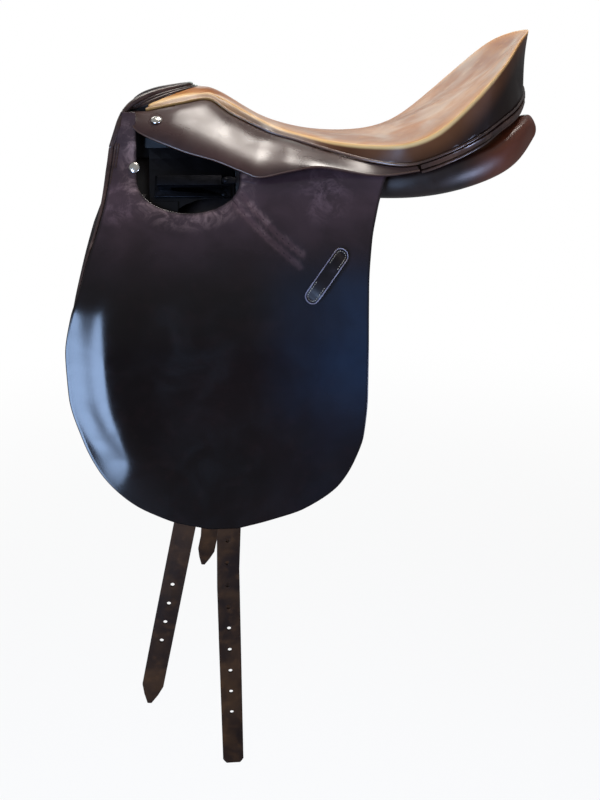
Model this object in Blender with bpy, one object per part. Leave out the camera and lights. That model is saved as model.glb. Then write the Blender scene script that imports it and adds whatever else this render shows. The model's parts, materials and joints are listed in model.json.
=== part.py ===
"""An English riding saddle: tree, seat, skirts, flaps, panels, girth straps and stirrup bars.

Metres, +Z up. -X is the pommel, +X the cantle and -Y the near side, the rider's left.
The origin is on the centre plane, under the lowest point of the seat and level with the
horse's side of the panels there. Both sides are alike, so an outline gives x, the distance
h from the centre plane, and z, and SIDES turns h into y.
"""
import math

import bpy
import bmesh
import numpy as np
from mathutils import Matrix, Vector

# Seat
SEAT_FRONT = -0.232
SEAT_LENGTH = 0.447
SEAT_HALF_WIDTH = 0.133
SEAT_LOW = 0.0655
CANTLE_RISE = 0.1175
SEAT_LEATHER = 0.003
RIM_WALL_HOLLOW = 0.003
BOWL_SLOPE = 0.75
FRONT_CURVE = 0.6
PAD_ROOM = 0.0028
WELT_RADIUS = 0.0017
WELT_ROOM = 0.0010
BAND_LEATHER = 0.0028
FIT = 0.0003

# Tree
TREE_PLY = 0.008
ARCH_THICKNESS = 0.010
ARCH_WIDTH = 0.026
CHEEK_THICKNESS = 0.010
CHEEK_TOP = 0.055
CHEEK_FRONT = -0.229
CHEEK_REAR = -0.136
CHEEK_LOW = ((CHEEK_FRONT, -0.009), (-0.205, -0.009), (-0.180, 0.002), (CHEEK_REAR, 0.006))
PLATE_STEEL = 0.002
SPRING_STEEL = 0.0012
SPRING_WIDTH = 0.012
WEB_THICKNESS = 0.0016
WEB_WIDTH = 0.046
WEB_LIFT = 0.0011
GIRTH_WEB_LIFT = WEB_LIFT + FIT / 3
LONG_WEB_LIFT = WEB_LIFT + WEB_THICKNESS + 3 * FIT
PAD_LIFT = LONG_WEB_LIFT + WEB_THICKNESS + 4 * FIT
CANTLE_BOARD = 0.006

# Skirts, flaps and sweat flaps
SKIRT_LEATHER = 0.0035
SKIRT_SWELL = 0.008
SKIRT_FULLNESS = ((0.0, 0.25), (0.25, 1.0), (0.6, 0.8), (1.0, 0.0))
FLAP_LEATHER = 0.004
SWELL_INSET = 0.042
SWELL_SPREAD = 0.030
SWELL_DEPTH = ((-0.335, 0.0), (-0.280, 0.006), (-0.200, 0.010), (-0.130, 0.010), (-0.060, 0.007),
               (-0.010, 0.0))
FOLD_HEIGHT = 0.012
FOLD_GAP = 0.0006
SWEAT_LEATHER = 0.0028
STRAP_ROOM = 0.0025
STRAP_PLAY = 0.0015
CHEEK_ROOM = 0.0075
CUTOUT_X = -0.186
CUTOUT_Z = 0.022
CUTOUT_LENGTH = 0.112
CUTOUT_HEIGHT = 0.066

# Girth straps
STRAP_WIDTH = 0.025
STRAP_LEATHER = 0.004
STRAP_HOLE = 0.0052
STRAP_TOP = -0.004

# Stirrup bars
BAR_LENGTH = 0.070
BAR_HEIGHT = 0.012
BAR_THICKNESS = 0.0060
BAR_REACH = 0.0075
BAR_FOOT = 0.014
BAR_PLATE_LENGTH = 0.084
BAR_PLATE_HEIGHT = 0.026
BAR_PLATE_STEEL = 0.0025
BAR_X = -0.181
BAR_Z = 0.015
CATCH_LENGTH = 0.016
CATCH_EAR = 0.0022
CATCH_PIN = 0.0028
RIVET_HEAD = 0.0065
RIVET_RISE = 0.0012
RIVET_SHANK = 0.0040
RIVET_DEPTH = 0.0080
RIVET_PLACES = {"front": (-0.022, 0.0095), "rear": (0.034, -0.0095)}

# Panels
PANEL_EDGE_POWER = 3.2
CHANNEL_RISE = ((-0.185, 0.020), (-0.120, 0.009))
CHANNEL_LEATHER = 0.002
POCKET_LEATHER = 0.0020

# Trim
ROLL_RADIUS = 0.003
FACING_LEATHER = 0.0022
NAIL_HEAD = 0.013
NAIL_RISE = 0.0032
NAIL_SHANK = 0.0026
NAIL_DEPTH = 0.006
SKIRT_NAIL = (-0.2195, 0.0855)
FLAP_NAIL = (-0.2445, 0.0365)
KEEPER_LENGTH = 0.069
KEEPER_WIDTH = 0.0175
KEEPER_LEATHER = 0.0025
KEEPER_ROOM = 0.0060
KEEPER_X = -0.0395
KEEPER_Z = -0.0750
KEEPER_TILT = 51.5

SIDES = {"near": -1, "off": 1}


def seat_x(per_cent):
    """Place along the saddle at a share of the seat's length, in per cent."""
    return SEAT_FRONT + SEAT_LENGTH * per_cent / 100


# Outlines of the seat and of what follows it, in per cent of its length, half width and cantle rise
SPINE = ((13.5, 0.0, 45.6), (17.2, 0.0, 44.7), (22.0, 0.0, 34.5), (28.2, 0.0, 19.6), (34.6, 0.0, 9.4),
         (41.8, 0.0, 2.6), (51.9, 0.0, 0.0), (63.1, 0.0, 7.7), (72.0, 0.0, 20.9), (79.9, 0.0, 36.2),
         (85.5, 0.0, 49.8))
RIM = ((0.9, 40.6, 30.6), (9.4, 28.6, 38.3), (16.8, 20.3, 40.0), (23.9, 26.3, 26.0), (31.8, 33.8, 9.4),
       (39.6, 45.1, 0.9), (48.5, 67.7, -4.3), (57.5, 88.7, -5.1), (64.2, 98.5, -2.6), (70.9, 99.2, 7.7),
       (77.6, 95.1, 28.1), (84.0, 86.7, 50.8), (88.7, 77.1, 68.3), (93.9, 52.2, 89.4), (98.0, 26.3, 98.0),
       (100.0, 0.0, 100.0))
WELT = ((0.0, 45.1, 27.3), (8.9, 34.6, 33.2), (16.1, 24.8, 36.2), (22.2, 30.8, 22.1),
        (31.5, 38.3, 5.4), (38.5, 49.6, -2.1), (47.9, 71.4, -10.6), (56.2, 90.2, -16.9),
        (64.4, 99.6, -18.7), (73.3, 99.2, -8.3), (81.9, 91.4, 6.1), (87.7, 76.7, 17.4),
        (93.3, 55.6, 28.1), (97.3, 28.6, 38.7), (99.0, 0.0, 47.2))
SKIRT_FRONT_CORNER = (-3.5, 47.0, 24.7)
SKIRT_LOW = ((-4.2, 55.3, 18.0), (-1.3, 66.9, 6.0), (8.5, 79.7, -8.8), (16.9, 85.0, -17.7),
             (24.2, 89.5, -28.5),
             (27.9, 91.7, -32.3), (35.2, 93.2, -26.6), (42.5, 94.7, -22.7), (53.8, 98.5, -29.5),
             (59.3, 101.1, -30.0), (66.6, 103.4, -25.9))
TREE_INNER = ((12.15, 26.4, 11.1), (17.5, 25.6, 8.6), (22.8, 25.6, 3.7), (31.8, 27.1, -9.1),
              (43.0, 32.3, -16.5),
              (54.1, 42.1, -18.5), (65.3, 54.1, -15.2), (74.3, 58.6, -6.5), (83.2, 49.6, 6.4),
              (88.8, 30.1, 17.4),
              (91.1, 0.0, 22.6))
TREE_OUTER = ((7.5, 42.6, 3.9), (17.5, 44.3, 0.0), (22.8, 45.9, -4.5), (31.8, 46.6, -15.0),
              (43.0, 60.2, -19.3),
              (54.1, 73.7, -21.0), (65.3, 85.7, -18.4), (76.5, 83.5, -3.8), (85.5, 67.7, 11.5),
              (93.3, 39.8, 26.0), (96.2, 0.0, 32.8))
POMMEL_EDGE = ((11.3, 0.0, 47.0), (10.6, 7.0, 46.5), (7.7, 16.0, 44.8), (1.9, 32.8, 40.4), (-2.6, 46.2, 33.4),
               (-5.1, 53.0, 24.0), (-6.6, 60.2, 12.3), (-7.2, 65.0, 0.0))
POMMEL_SEAM = ((13.0, 0.0, 45.3), (11.7, 10.2, 44.3), (8.9, 20.3, 41.4), (5.0, 30.5, 36.6), (0.3, 41.0, 29.8),
               (-2.2, 43.8, 26.9), (-4.4, 46.4, 24.3), (-4.9, 51.0, 20.0))

# Distance of the flap's inner face from the centre plane, as (z, h) pairs down the front, waist and rear
FLAP_FRONT_SECTION = ((0.075, 0.078), (0.045, 0.089), (0.020, 0.104), (0.0, 0.118), (-0.020, 0.131),
                      (-0.060, 0.154), (-0.110, 0.174), (-0.160, 0.184), (-0.357, 0.190))
FLAP_WAIST_SECTION = ((0.060, 0.060), (0.045, 0.082), (0.030, 0.104), (0.012, 0.1205), (0.0, 0.128),
                      (-0.020, 0.1395), (-0.060, 0.1585), (-0.110, 0.175), (-0.160, 0.184), (-0.357, 0.190))
FLAP_REAR_SECTION = ((0.060, 0.108), (0.040, 0.117), (0.020, 0.127), (0.0, 0.138), (-0.020, 0.148),
                     (-0.060, 0.163), (-0.110, 0.176), (-0.160, 0.184), (-0.357, 0.190))
SECTION_X = (-0.235, -0.090, 0.030)

# Edges of the flap, the sweat flap and the knee roll, as (z, x) pairs
FLAP_FRONT_EDGE = ((0.070, -0.2645), (0.036, -0.2702), (0.004, -0.2760), (-0.024, -0.2835), (-0.053, -0.2935),
                   (-0.083, -0.303), (-0.113, -0.3145), (-0.153, -0.3215), (-0.195, -0.3205),
                   (-0.246, -0.3085),
                   (-0.282, -0.293), (-0.319, -0.261), (-0.346, -0.2152), (-0.357, -0.172))
FLAP_REAR_EDGE = ((0.070, 0.040), (0.034, 0.0341), (0.021, 0.0284), (-0.009, 0.0185), (-0.040, 0.0114),
                  (-0.0875, 0.0068), (-0.1415, 0.0058), (-0.204, 0.0055), (-0.250, 0.0015),
                  (-0.2735, -0.0059),
                  (-0.307, -0.0248), (-0.336, -0.0657), (-0.349, -0.1067), (-0.357, -0.142))
KNEE_ROLL_EDGE = ((0.010, -0.2785), (0.004, -0.2804), (-0.024, -0.2915), (-0.053, -0.3000), (-0.083, -0.3075),
                  (-0.113, -0.3150), (-0.153, -0.3170), (-0.195, -0.3150), (-0.270, -0.2910))
SWEAT_FRONT_EDGE = ((-0.014, -0.276), (-0.053, -0.292), (-0.113, -0.307), (-0.195, -0.306), (-0.260, -0.288),
                    (-0.300, -0.262), (-0.330, -0.212), (-0.336, -0.175))
SWEAT_REAR_EDGE = ((-0.014, 0.004), (-0.040, -0.002), (-0.090, -0.007), (-0.204, -0.008), (-0.250, -0.014),
                   (-0.300, -0.042), (-0.328, -0.100), (-0.336, -0.145))
ROOT_TOP = ((-0.262, 0.052), (-0.235, 0.060), (-0.200, 0.064), (-0.160, 0.058), (-0.110, 0.045),
            (-0.060, 0.040), (-0.030, 0.0355), (0.0, 0.0320), (0.034, 0.0280))

# Middle of each panel across its width, from the channel outwards, as (h, z) pairs, with its thickness
PANEL_SECTIONS = (
    (-0.264, (0.060, 0.078), (0.073, 0.052), (0.087, 0.028), (0.103, 0.002), 0.012),
    (-0.225, (0.040, 0.073), (0.053, 0.044), (0.081, 0.002), (0.135, -0.075), 0.018),
    (-0.190, (0.035, 0.064), (0.052, 0.040), (0.085, -0.001), (0.145, -0.100), 0.020),
    (-0.150, (0.032, 0.050), (0.058, 0.030), (0.091, -0.004), (0.138, -0.085), 0.021),
    (-0.110, (0.031, 0.040), (0.060, 0.026), (0.091, 0.002), (0.124, -0.045), 0.023),
    (-0.060, (0.031, 0.030), (0.062, 0.024), (0.092, 0.012), (0.117, -0.010), 0.026),
    (-0.010, (0.031, 0.027), (0.060, 0.0235), (0.090, 0.020), (0.1165, 0.010), 0.030),
    (seat_x(58.6), (0.031, 0.026), (0.060, 0.0225), (0.092, 0.0185), (0.1195, 0.0120), 0.036),
    (seat_x(72.0), (0.031, 0.033), (0.063, 0.029), (0.097, 0.0255), (0.130, 0.0215), 0.045),
    (seat_x(85.5), (0.033, 0.048), (0.058, 0.044), (0.085, 0.0400), (0.114, 0.0365), 0.047),
    (seat_x(92.2), (0.034, 0.061), (0.050, 0.0580), (0.070, 0.0535), (0.095, 0.0470), 0.049),
    (seat_x(96.0), (0.036, 0.067), (0.049, 0.065), (0.063, 0.0615), (0.078, 0.057), 0.046),
    (seat_x(98.4), (0.039, 0.072), (0.047, 0.071), (0.056, 0.0685), (0.064, 0.066), 0.038),
    (seat_x(100.1), (0.041, 0.0720), (0.046, 0.0715), (0.051, 0.0705), (0.057, 0.0690), 0.012),
)

# Arch of the tree over the withers: the middle of its outer face
ARCH_LINE = ((-0.171, 0.0, 0.1020), (-0.180, 0.021, 0.0995), (-0.197, 0.041, 0.0925),
             (-0.211, 0.0575, 0.0815),
             (-0.2185, 0.0685, 0.0690), (-0.2205, 0.0745, 0.0590))

# Line of each girth strap, as (z, x) pairs from its root to its tip, with its holes and its tip
STRAPS = {
    "near_front": {"side": -1,
                   "line": ((STRAP_TOP, -0.124), (-0.356, -0.2022), (-0.520, -0.2370), (-0.584, -0.2506)),
                   "first_hole": -0.428, "pitch": 0.024, "holes": 4, "pointed": True},
    "near_rear": {"side": -1,
                  "line": ((STRAP_TOP, -0.083), (-0.300, -0.1440), (-0.400, -0.1540), (-0.674, -0.1520)),
                  "first_hole": -0.374, "pitch": 0.0285, "holes": 9, "pointed": False},
    "off_front": {"side": 1,
                  "line": ((STRAP_TOP, -0.119), (-0.360, -0.1660), (-0.530, -0.1740), (-0.589, -0.1860)),
                  "first_hole": -0.428, "pitch": 0.024, "holes": 4, "pointed": True},
    "off_rear": {"side": 1,
                 "line": ((STRAP_TOP, -0.078), (-0.360, -0.1300), (-0.530, -0.1405), (-0.677, -0.1470)),
                 "first_hole": -0.374, "pitch": 0.0285, "holes": 9, "pointed": False},
}
GIRTH_WEB_X = {"front": -0.1215, "rear": -0.0805}
CROSS_WEB_X = {"front": -0.020, "rear": seat_x(62.6)}


def monotone(table, position):
    """Reads a smooth curve through (position, value) pairs, without overshoot between them."""
    points = sorted(table)
    xs = [p[0] for p in points]
    ys = [p[1] for p in points]
    if position <= xs[0]:
        return ys[0]
    if position >= xs[-1]:
        return ys[-1]
    slopes = [(ys[i + 1] - ys[i]) / (xs[i + 1] - xs[i]) for i in range(len(xs) - 1)]
    tangents = [slopes[0]]
    for before, after in zip(slopes, slopes[1:]):
        tangents.append(0.0 if before * after <= 0 else 2 * before * after / (before + after))
    tangents.append(slopes[-1])
    i = max(k for k in range(len(xs) - 1) if xs[k] <= position)
    step = xs[i + 1] - xs[i]
    u = (position - xs[i]) / step
    return (ys[i] * (1 + 2 * u) * (1 - u) ** 2 + tangents[i] * step * u * (1 - u) ** 2
            + ys[i + 1] * u * u * (3 - 2 * u) + tangents[i + 1] * step * u * u * (u - 1))


def smooth_path(points, count=161, meets_centre=False):
    """Evenly spaced points on a smooth curve through the given ones."""
    given = np.array(points, float)
    first = 2 * given[0] - given[1]
    last = given[-2] * (1, -1, 1) if meets_centre else 2 * given[-1] - given[-2]
    padded = np.vstack([first, given, last])
    fine = []
    for a, b, c, d in zip(padded, padded[1:], padded[2:], padded[3:]):
        for u in np.linspace(0, 1, 12, endpoint=False):
            fine.append(0.5 * (2 * b + (c - a) * u + (2 * a - 5 * b + 4 * c - d) * u ** 2
                               + (3 * b - a - 3 * c + d) * u ** 3))
    fine.append(given[-1])
    fine = np.array(fine)
    along = np.concatenate([[0], np.cumsum(np.linalg.norm(np.diff(fine, axis=0), axis=1))])
    even = np.linspace(0, along[-1], count)
    return np.column_stack([np.interp(even, along, fine[:, k]) for k in range(3)])


def at(path, share):
    """The point at a share of the path's length."""
    place = np.clip(share, 0, 1) * (len(path) - 1)
    return np.array([np.interp(place, np.arange(len(path)), path[:, k]) for k in range(3)])


def share_at_x(path, x):
    """Share of the path's length at which it reaches x, on its way to the rear."""
    start = int(np.argmin(path[:, 0]))
    return float(np.interp(x, path[start:, 0], np.linspace(0, 1, len(path))[start:]))


def seat_space(outline):
    """Turns per cent of the seat's sizes into metres."""
    return [(seat_x(x), SEAT_HALF_WIDTH * h / 100, SEAT_LOW + CANTLE_RISE * z / 100)
            for x, h, z in outline]


def unit(vector):
    return vector / np.linalg.norm(vector)


spine = smooth_path(seat_space(SPINE))
rim = smooth_path(seat_space(RIM), meets_centre=True)
welt = smooth_path(seat_space(WELT), meets_centre=True)
tree_inner = smooth_path(seat_space(TREE_INNER), meets_centre=True)
tree_outer = smooth_path(seat_space(TREE_OUTER), meets_centre=True)
arch_line = smooth_path(((ARCH_LINE[1][0], -ARCH_LINE[1][1], ARCH_LINE[1][2]),) + ARCH_LINE)[27:]


def below_welt(share, distance):
    """A point below the seam of the seat, square to the seam in the plane of the seat's side."""
    along = unit(at(welt, share + 0.01) - at(welt, share - 0.01))
    down = at(welt, share) - at(rim, share)
    down = unit(down - along * np.dot(down, along))
    point = at(welt, share) + down * distance
    if share >= 1:
        point[1] = 0
    return point


def flap_base(x, z):
    """Distance from the centre plane to the flap's inner face, without the swell over the knee roll."""
    sections = [monotone(s, z) for s in (FLAP_FRONT_SECTION, FLAP_WAIST_SECTION, FLAP_REAR_SECTION)]
    share = monotone(tuple(zip(SECTION_X, (0.0, 1.0, 2.0))), x)
    low = min(int(share), 1)
    return sections[low] + (sections[low + 1] - sections[low]) * (share - low)


def flap_h(x, z):
    """Distance from the centre plane to the flap's inner face."""
    crest = monotone(KNEE_ROLL_EDGE, z) + SWELL_INSET
    return flap_base(x, z) + monotone(SWELL_DEPTH, z) * math.exp(-((x - crest) / SWELL_SPREAD) ** 2)


def finish(name, colour, roughness, metallic=0.0):
    """A Principled material of one colour."""
    material = bpy.data.materials.new(name)
    material.use_nodes = True
    shader = material.node_tree.nodes["Principled BSDF"]
    shader.inputs["Base Color"].default_value = (*colour, 1)
    shader.inputs["Roughness"].default_value = roughness
    shader.inputs["Metallic"].default_value = metallic
    material.diffuse_color = (*colour, 1)
    return material


HAVANA = (0.030, 0.012, 0.009)
TAN = (0.33, 0.13, 0.045)
RUSSET = (0.10, 0.035, 0.018)
STEEL = (0.42, 0.42, 0.43)
NICKEL = (0.72, 0.70, 0.66)
BEECH = (0.48, 0.30, 0.15)
LINEN = (0.55, 0.47, 0.34)
FOAM = (0.80, 0.74, 0.55)


def add_object(name, vertices, faces, material, smooth=True, merge=1e-6):
    """Makes one object of closed bodies whose faces point outwards."""
    mesh = bpy.data.meshes.new(name)
    mesh.from_pydata([tuple(map(float, v)) for v in vertices], [], faces)
    work = bmesh.new()
    work.from_mesh(mesh)
    bmesh.ops.remove_doubles(work, verts=work.verts, dist=merge)
    bmesh.ops.dissolve_degenerate(work, edges=work.edges, dist=merge)
    bmesh.ops.recalc_face_normals(work, faces=work.faces)
    work.to_mesh(mesh)
    work.free()
    if smooth:
        mesh.shade_smooth()
        mesh.set_sharp_from_angle(angle=math.radians(50))
    mesh.materials.append(material)
    made = bpy.data.objects.new(name, mesh)
    bpy.context.scene.collection.objects.link(made)
    return made


def grid_faces(rows, columns, start, turned=False):
    """Quads over a grid of vertices numbered row by row."""
    faces = []
    for r in range(rows - 1):
        for c in range(columns - 1):
            quad = (start + r * columns + c, start + r * columns + c + 1,
                    start + (r + 1) * columns + c + 1, start + (r + 1) * columns + c)
            faces.append(quad[::-1] if turned else quad)
    return faces


def offset(grid, distance, centre_row=False, centre_column=False):
    """Moves a grid of points along its normals, keeping points of the centre plane on it."""
    along = np.gradient(grid, axis=1)
    down = np.gradient(grid, axis=0)
    normals = np.cross(along, down)
    if centre_row:
        normals[0, :, 1] = 0
    if centre_column:
        normals[:, -1, 1] = 0
    normals /= np.maximum(np.linalg.norm(normals, axis=2, keepdims=True), 1e-12)
    return grid + normals * distance


def slab_parts(inner, outer, closed_start=True, closed_end=True, closed_top=True, closed_bottom=True):
    """Vertices and faces of the space between two grids, with the edges that are to be closed."""
    rows, columns = inner.shape[:2]
    vertices = list(inner.reshape(-1, 3)) + list(outer.reshape(-1, 3))
    size = rows * columns
    faces = grid_faces(rows, columns, 0, turned=True) + grid_faces(rows, columns, size)

    def strip(indices):
        return [(a, b, b + size, a + size) for a, b in zip(indices, indices[1:])]
    if closed_top:
        faces += strip(list(range(columns)))
    if closed_bottom:
        faces += strip([(rows - 1) * columns + c for c in range(columns)])
    if closed_start:
        faces += strip([r * columns for r in range(rows)])
    if closed_end:
        faces += strip([r * columns + columns - 1 for r in range(rows)])
    return vertices, faces


def one_side(points, side):
    return [(p[0], p[1] * side, p[2]) for p in points]


def slab(name, inner, outer, material, side):
    """A sheet or cushion on one side of the saddle."""
    vertices, faces = slab_parts(np.array(inner), np.array(outer))
    return add_object(name, one_side(vertices, side), faces, material)


def mirrored_slab(name, inner, outer, material, closed_top=False, closed_end=False):
    """A sheet or cushion across the centre plane, from its near half."""
    vertices, faces = slab_parts(inner, outer, closed_top=closed_top, closed_end=closed_end)
    near = one_side(vertices, SIDES["near"])
    off = one_side(vertices, SIDES["off"])
    both = faces + [tuple(i + len(near) for i in face) for face in faces]
    return add_object(name, near + off, both, material, merge=1e-5)


def tube(name, points, radius, material, sides=6):
    """A round cord with closed ends along the given points."""
    line = np.array(points, float)
    tangents = np.gradient(line, axis=0)
    tangents /= np.linalg.norm(tangents, axis=1, keepdims=True)
    aside = np.cross(tangents[0], (0, 0, 1.0))
    vertices, faces = [], []
    for number, (point, along) in enumerate(zip(line, tangents)):
        aside = unit(aside - along * np.dot(aside, along))
        over = np.cross(along, aside)
        for k in range(sides):
            a = 2 * math.pi * k / sides
            vertices.append(point + radius * (math.cos(a) * aside + math.sin(a) * over))
            if number:
                last = (number - 1) * sides
                following = (k + 1) % sides
                faces.append((last + k, last + following, last + sides + following, last + sides + k))
    faces += [tuple(range(sides)), tuple(len(vertices) - sides + k for k in range(sides))]
    return add_object(name, vertices, faces, material)


def across_centre(half):
    """A near half ending on the centre plane, continued over the off side."""
    near = [(p[0], -p[1], p[2]) for p in half]
    off = [(p[0], p[1], p[2]) for p in half[:-1]]
    return near + off[::-1]


def prism(name, outline, low, high, material, frame=None):
    """An outline in u and v, raised from one level to another along w."""
    count = len(outline)
    vertices = [(u, v, low) for u, v in outline] + [(u, v, high) for u, v in outline]
    faces = [tuple(range(count))[::-1], tuple(range(count, 2 * count))]
    faces += [(i, (i + 1) % count, count + (i + 1) % count, count + i) for i in range(count)]
    if frame is not None:
        vertices = [frame @ Vector(v) for v in vertices]
    return add_object(name, vertices, faces, material, smooth=False)


def rectangle(length, height, centre=(0, 0)):
    u, v = centre
    return [(u - length / 2, v - height / 2), (u + length / 2, v - height / 2),
            (u + length / 2, v + height / 2), (u - length / 2, v + height / 2)]


def ellipse(length, height, centre=(0, 0), count=16):
    turn = 2 * math.pi / count
    return [(centre[0] + length / 2 * math.cos(i * turn), centre[1] + height / 2 * math.sin(i * turn))
            for i in range(count)]


def stadium(length, height, centre=(0, 0), steps=6):
    """A rectangle with round ends."""
    radius = height / 2
    reach = length / 2 - radius
    turns = [math.pi * (i / steps - 0.5) for i in range(steps + 1)]
    right = [(centre[0] + reach + radius * math.cos(a), centre[1] + radius * math.sin(a)) for a in turns]
    left = [(centre[0] - reach - radius * math.cos(a), centre[1] - radius * math.sin(a)) for a in turns]
    return right + left


def turned(name, profile, frame, material, count=12):
    """A round piece from its profile of (radius, height) points, open at neither end."""
    vertices = []
    rings = []
    for radius, height in profile:
        if radius == 0:
            rings.append([len(vertices)])
            vertices.append((0, 0, height))
            continue
        rings.append(list(range(len(vertices), len(vertices) + count)))
        for i in range(count):
            a = 2 * math.pi * i / count
            vertices.append((radius * math.cos(a), radius * math.sin(a), height))
    faces = []
    for low, high in zip(rings, rings[1:]):
        for i in range(count):
            j = (i + 1) % count
            corners = [low[i % len(low)], low[j % len(low)], high[j % len(high)], high[i % len(high)]]
            face = list(dict.fromkeys(corners))
            if len(face) > 2:
                faces.append(tuple(face))
    return add_object(name, [frame @ Vector(v) for v in vertices], faces, material)


def as_cutter(piece):
    piece.hide_render = True
    piece.display_type = "WIRE"
    return piece


def cut(piece, cutter):
    difference = piece.modifiers.new("Cut", "BOOLEAN")
    difference.operation = "DIFFERENCE"
    difference.solver = "EXACT"
    difference.object = as_cutter(cutter)


def join(piece, other):
    """Fuses two touching or crossing shapes into one body."""
    union = piece.modifiers.new("Join", "BOOLEAN")
    union.operation = "UNION"
    union.solver = "EXACT"
    union.object = as_cutter(other)


def place_origin(piece, location):
    """Puts the object's origin on its joint without moving its surface."""
    piece.data.transform(Matrix.Translation(-Vector(location)))
    piece.location = location


def axes_frame(origin, u, w):
    """A frame with its first axis along u and its third along w."""
    first = Vector(u).normalized()
    third = Vector(w)
    third = (third - first * third.dot(first)).normalized()
    second = third.cross(first)
    return Matrix.Translation(Vector(origin)) @ Matrix((first, second, third)).transposed().to_4x4()


# Seat

TOP_ROWS = (0.0, 0.22, 0.43, 0.62, 0.8, 1.0)
SIDE_ROWS = (0.4, 1.0)
SEAT_COLUMNS = 25
PAD_FRONT = 0.14


def seat_top(share, across):
    """The upper face of the seat, from the centre line at 0 to the rim at 1."""
    middle = at(spine, share)
    edge = at(rim, share)
    reach = edge - middle
    point = middle + reach * across
    rearward = max(0.0, reach[0] / math.hypot(reach[0], reach[1]))
    straight = BOWL_SLOPE * rearward ** 2 * monotone(((0.60, 0.0), (0.85, 1.0)), share)
    point[2] = middle[2] + reach[2] * (straight * across + (1 - straight) * across ** 2)
    front_curve = monotone(((0.0, FRONT_CURVE), (0.25, 0.0)), share)
    point[0] = middle[0] + reach[0] * across ** (1 + front_curve)
    return point


def seat_side(share, down):
    """The side wall of the seat, from the rim at 0 to the seam at 1, a little hollow at the rear."""
    top = at(rim, share)
    point = top + (at(welt, share) - top) * down
    point[0] -= RIM_WALL_HOLLOW * math.sin(math.pi * down) * monotone(((0.80, 0.0), (0.95, 1.0)), share)
    return point


def seat_grid():
    shares = np.linspace(0, 1, SEAT_COLUMNS)
    rows = [[seat_top(s, v) for s in shares] for v in TOP_ROWS]
    rows += [[seat_side(s, w) for s in shares] for w in SIDE_ROWS]
    grid = np.array(rows)
    grid[:, -1, 1] = 0
    grid[0, :, 1] = 0
    return grid


def plan_height(grid, x, h):
    """Height of a grid of points over one place of the plan."""
    a, b = grid[:-1, :-1].reshape(-1, 3), grid[:-1, 1:].reshape(-1, 3)
    c, d = grid[1:, 1:].reshape(-1, 3), grid[1:, :-1].reshape(-1, 3)
    first, second, third = np.vstack([a, a]), np.vstack([b, c]), np.vstack([c, d])
    u, v = second - first, third - first
    area = u[:, 0] * v[:, 1] - u[:, 1] * v[:, 0]
    flat = abs(area) < 1e-9
    area[flat] = 1e-9
    px, ph = x - first[:, 0], h - first[:, 1]
    s = (px * v[:, 1] - ph * v[:, 0]) / area
    t = (u[:, 0] * ph - u[:, 1] * px) / area
    outside = np.maximum.reduce([-s, -t, s + t - 1])
    outside[flat] = 1e6
    best = int(np.argmin(outside))
    return first[best, 2] + s[best] * u[best, 2] + t[best] * v[best, 2]


def seat_underside(outer):
    """Inner face of the seat leather, with its corner under the rim set back evenly from both walls."""
    inner = offset(outer, -SEAT_LEATHER, centre_row=True, centre_column=True)
    r = len(TOP_ROWS) - 1
    along = np.gradient(outer[r], axis=0)
    over = np.cross(along, outer[r] - outer[r - 1])
    aside = np.cross(along, outer[r + 1] - outer[r])
    over /= np.linalg.norm(over, axis=1, keepdims=True)
    aside /= np.linalg.norm(aside, axis=1, keepdims=True)
    spread = 1 + np.sum(over * aside, axis=1, keepdims=True)
    inner[r] = outer[r] - SEAT_LEATHER * (over + aside) / np.maximum(spread, 0.25)
    inner[r, -1, 1] = 0
    return inner


seat_outer = seat_grid()
seat_inner = seat_underside(seat_outer)


def seat_lining(x, h):
    """Height of the underside of the seat leather over one place of the plan."""
    return plan_height(seat_inner[:len(TOP_ROWS)], x, h)


def tree_plan(shares):
    """Upper face of the tree plate, continued to the centre plane and outwards."""
    rows = []
    for s in shares:
        inner, outer = at(tree_inner, s), at(tree_outer, s)
        away = unit((outer - inner) * (1, 1, 0))
        rows.append([inner * (1, 0, 1), inner, outer, outer + away * 0.05])
    grid = np.array(rows).transpose(1, 0, 2)
    grid[:, :, 2] += TREE_PLY
    return grid


tree_upper = tree_plan(np.linspace(0, 1, 23))


def make_seat():
    mirrored_slab("seat_cover", seat_inner, seat_outer, finish("tan_seat_leather", TAN, 0.35))

    rows = []
    for v in (0.0, 0.33, 0.67, 1.0):
        row = []
        for s in np.linspace(PAD_FRONT, 1, 17):
            point = seat_top(s, v * monotone(((0.5, 0.84), (0.7, 0.74), (1.0, 0.52)), s))
            point[2] = seat_lining(point[0], point[1]) - PAD_ROOM
            row.append(point)
        rows.append(row)
    top = np.array(rows)
    top[0, :, 1] = 0
    top[:, -1, 1] = 0
    bottom = top.copy()
    for row in bottom:
        for point in row:
            floor = plan_height(tree_upper, point[0], point[1]) + PAD_LIFT
            point[2] = min(floor, point[2] - 0.0015)
    mirrored_slab("seat_pad", bottom, top, finish("wool_and_foam", FOAM, 0.9))


def make_seat_welt():
    half = [below_welt(s, WELT_ROOM + WELT_RADIUS) for s in np.linspace(0, 1, SEAT_COLUMNS)]
    tube("seat_welt", across_centre(half), WELT_RADIUS, finish("welt_leather", HAVANA, 0.3))


BAND_START = share_at_x(welt, seat_x(66.4))
SKIRT_SEAM = 2 * (WELT_ROOM + WELT_RADIUS)


def band_height(share):
    """Height of the strip round the foot of the cantle, which is tallest at the back."""
    return monotone(((BAND_START, 0.0045), (0.90, 0.0055), (1.0, 0.0080)), share)


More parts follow.
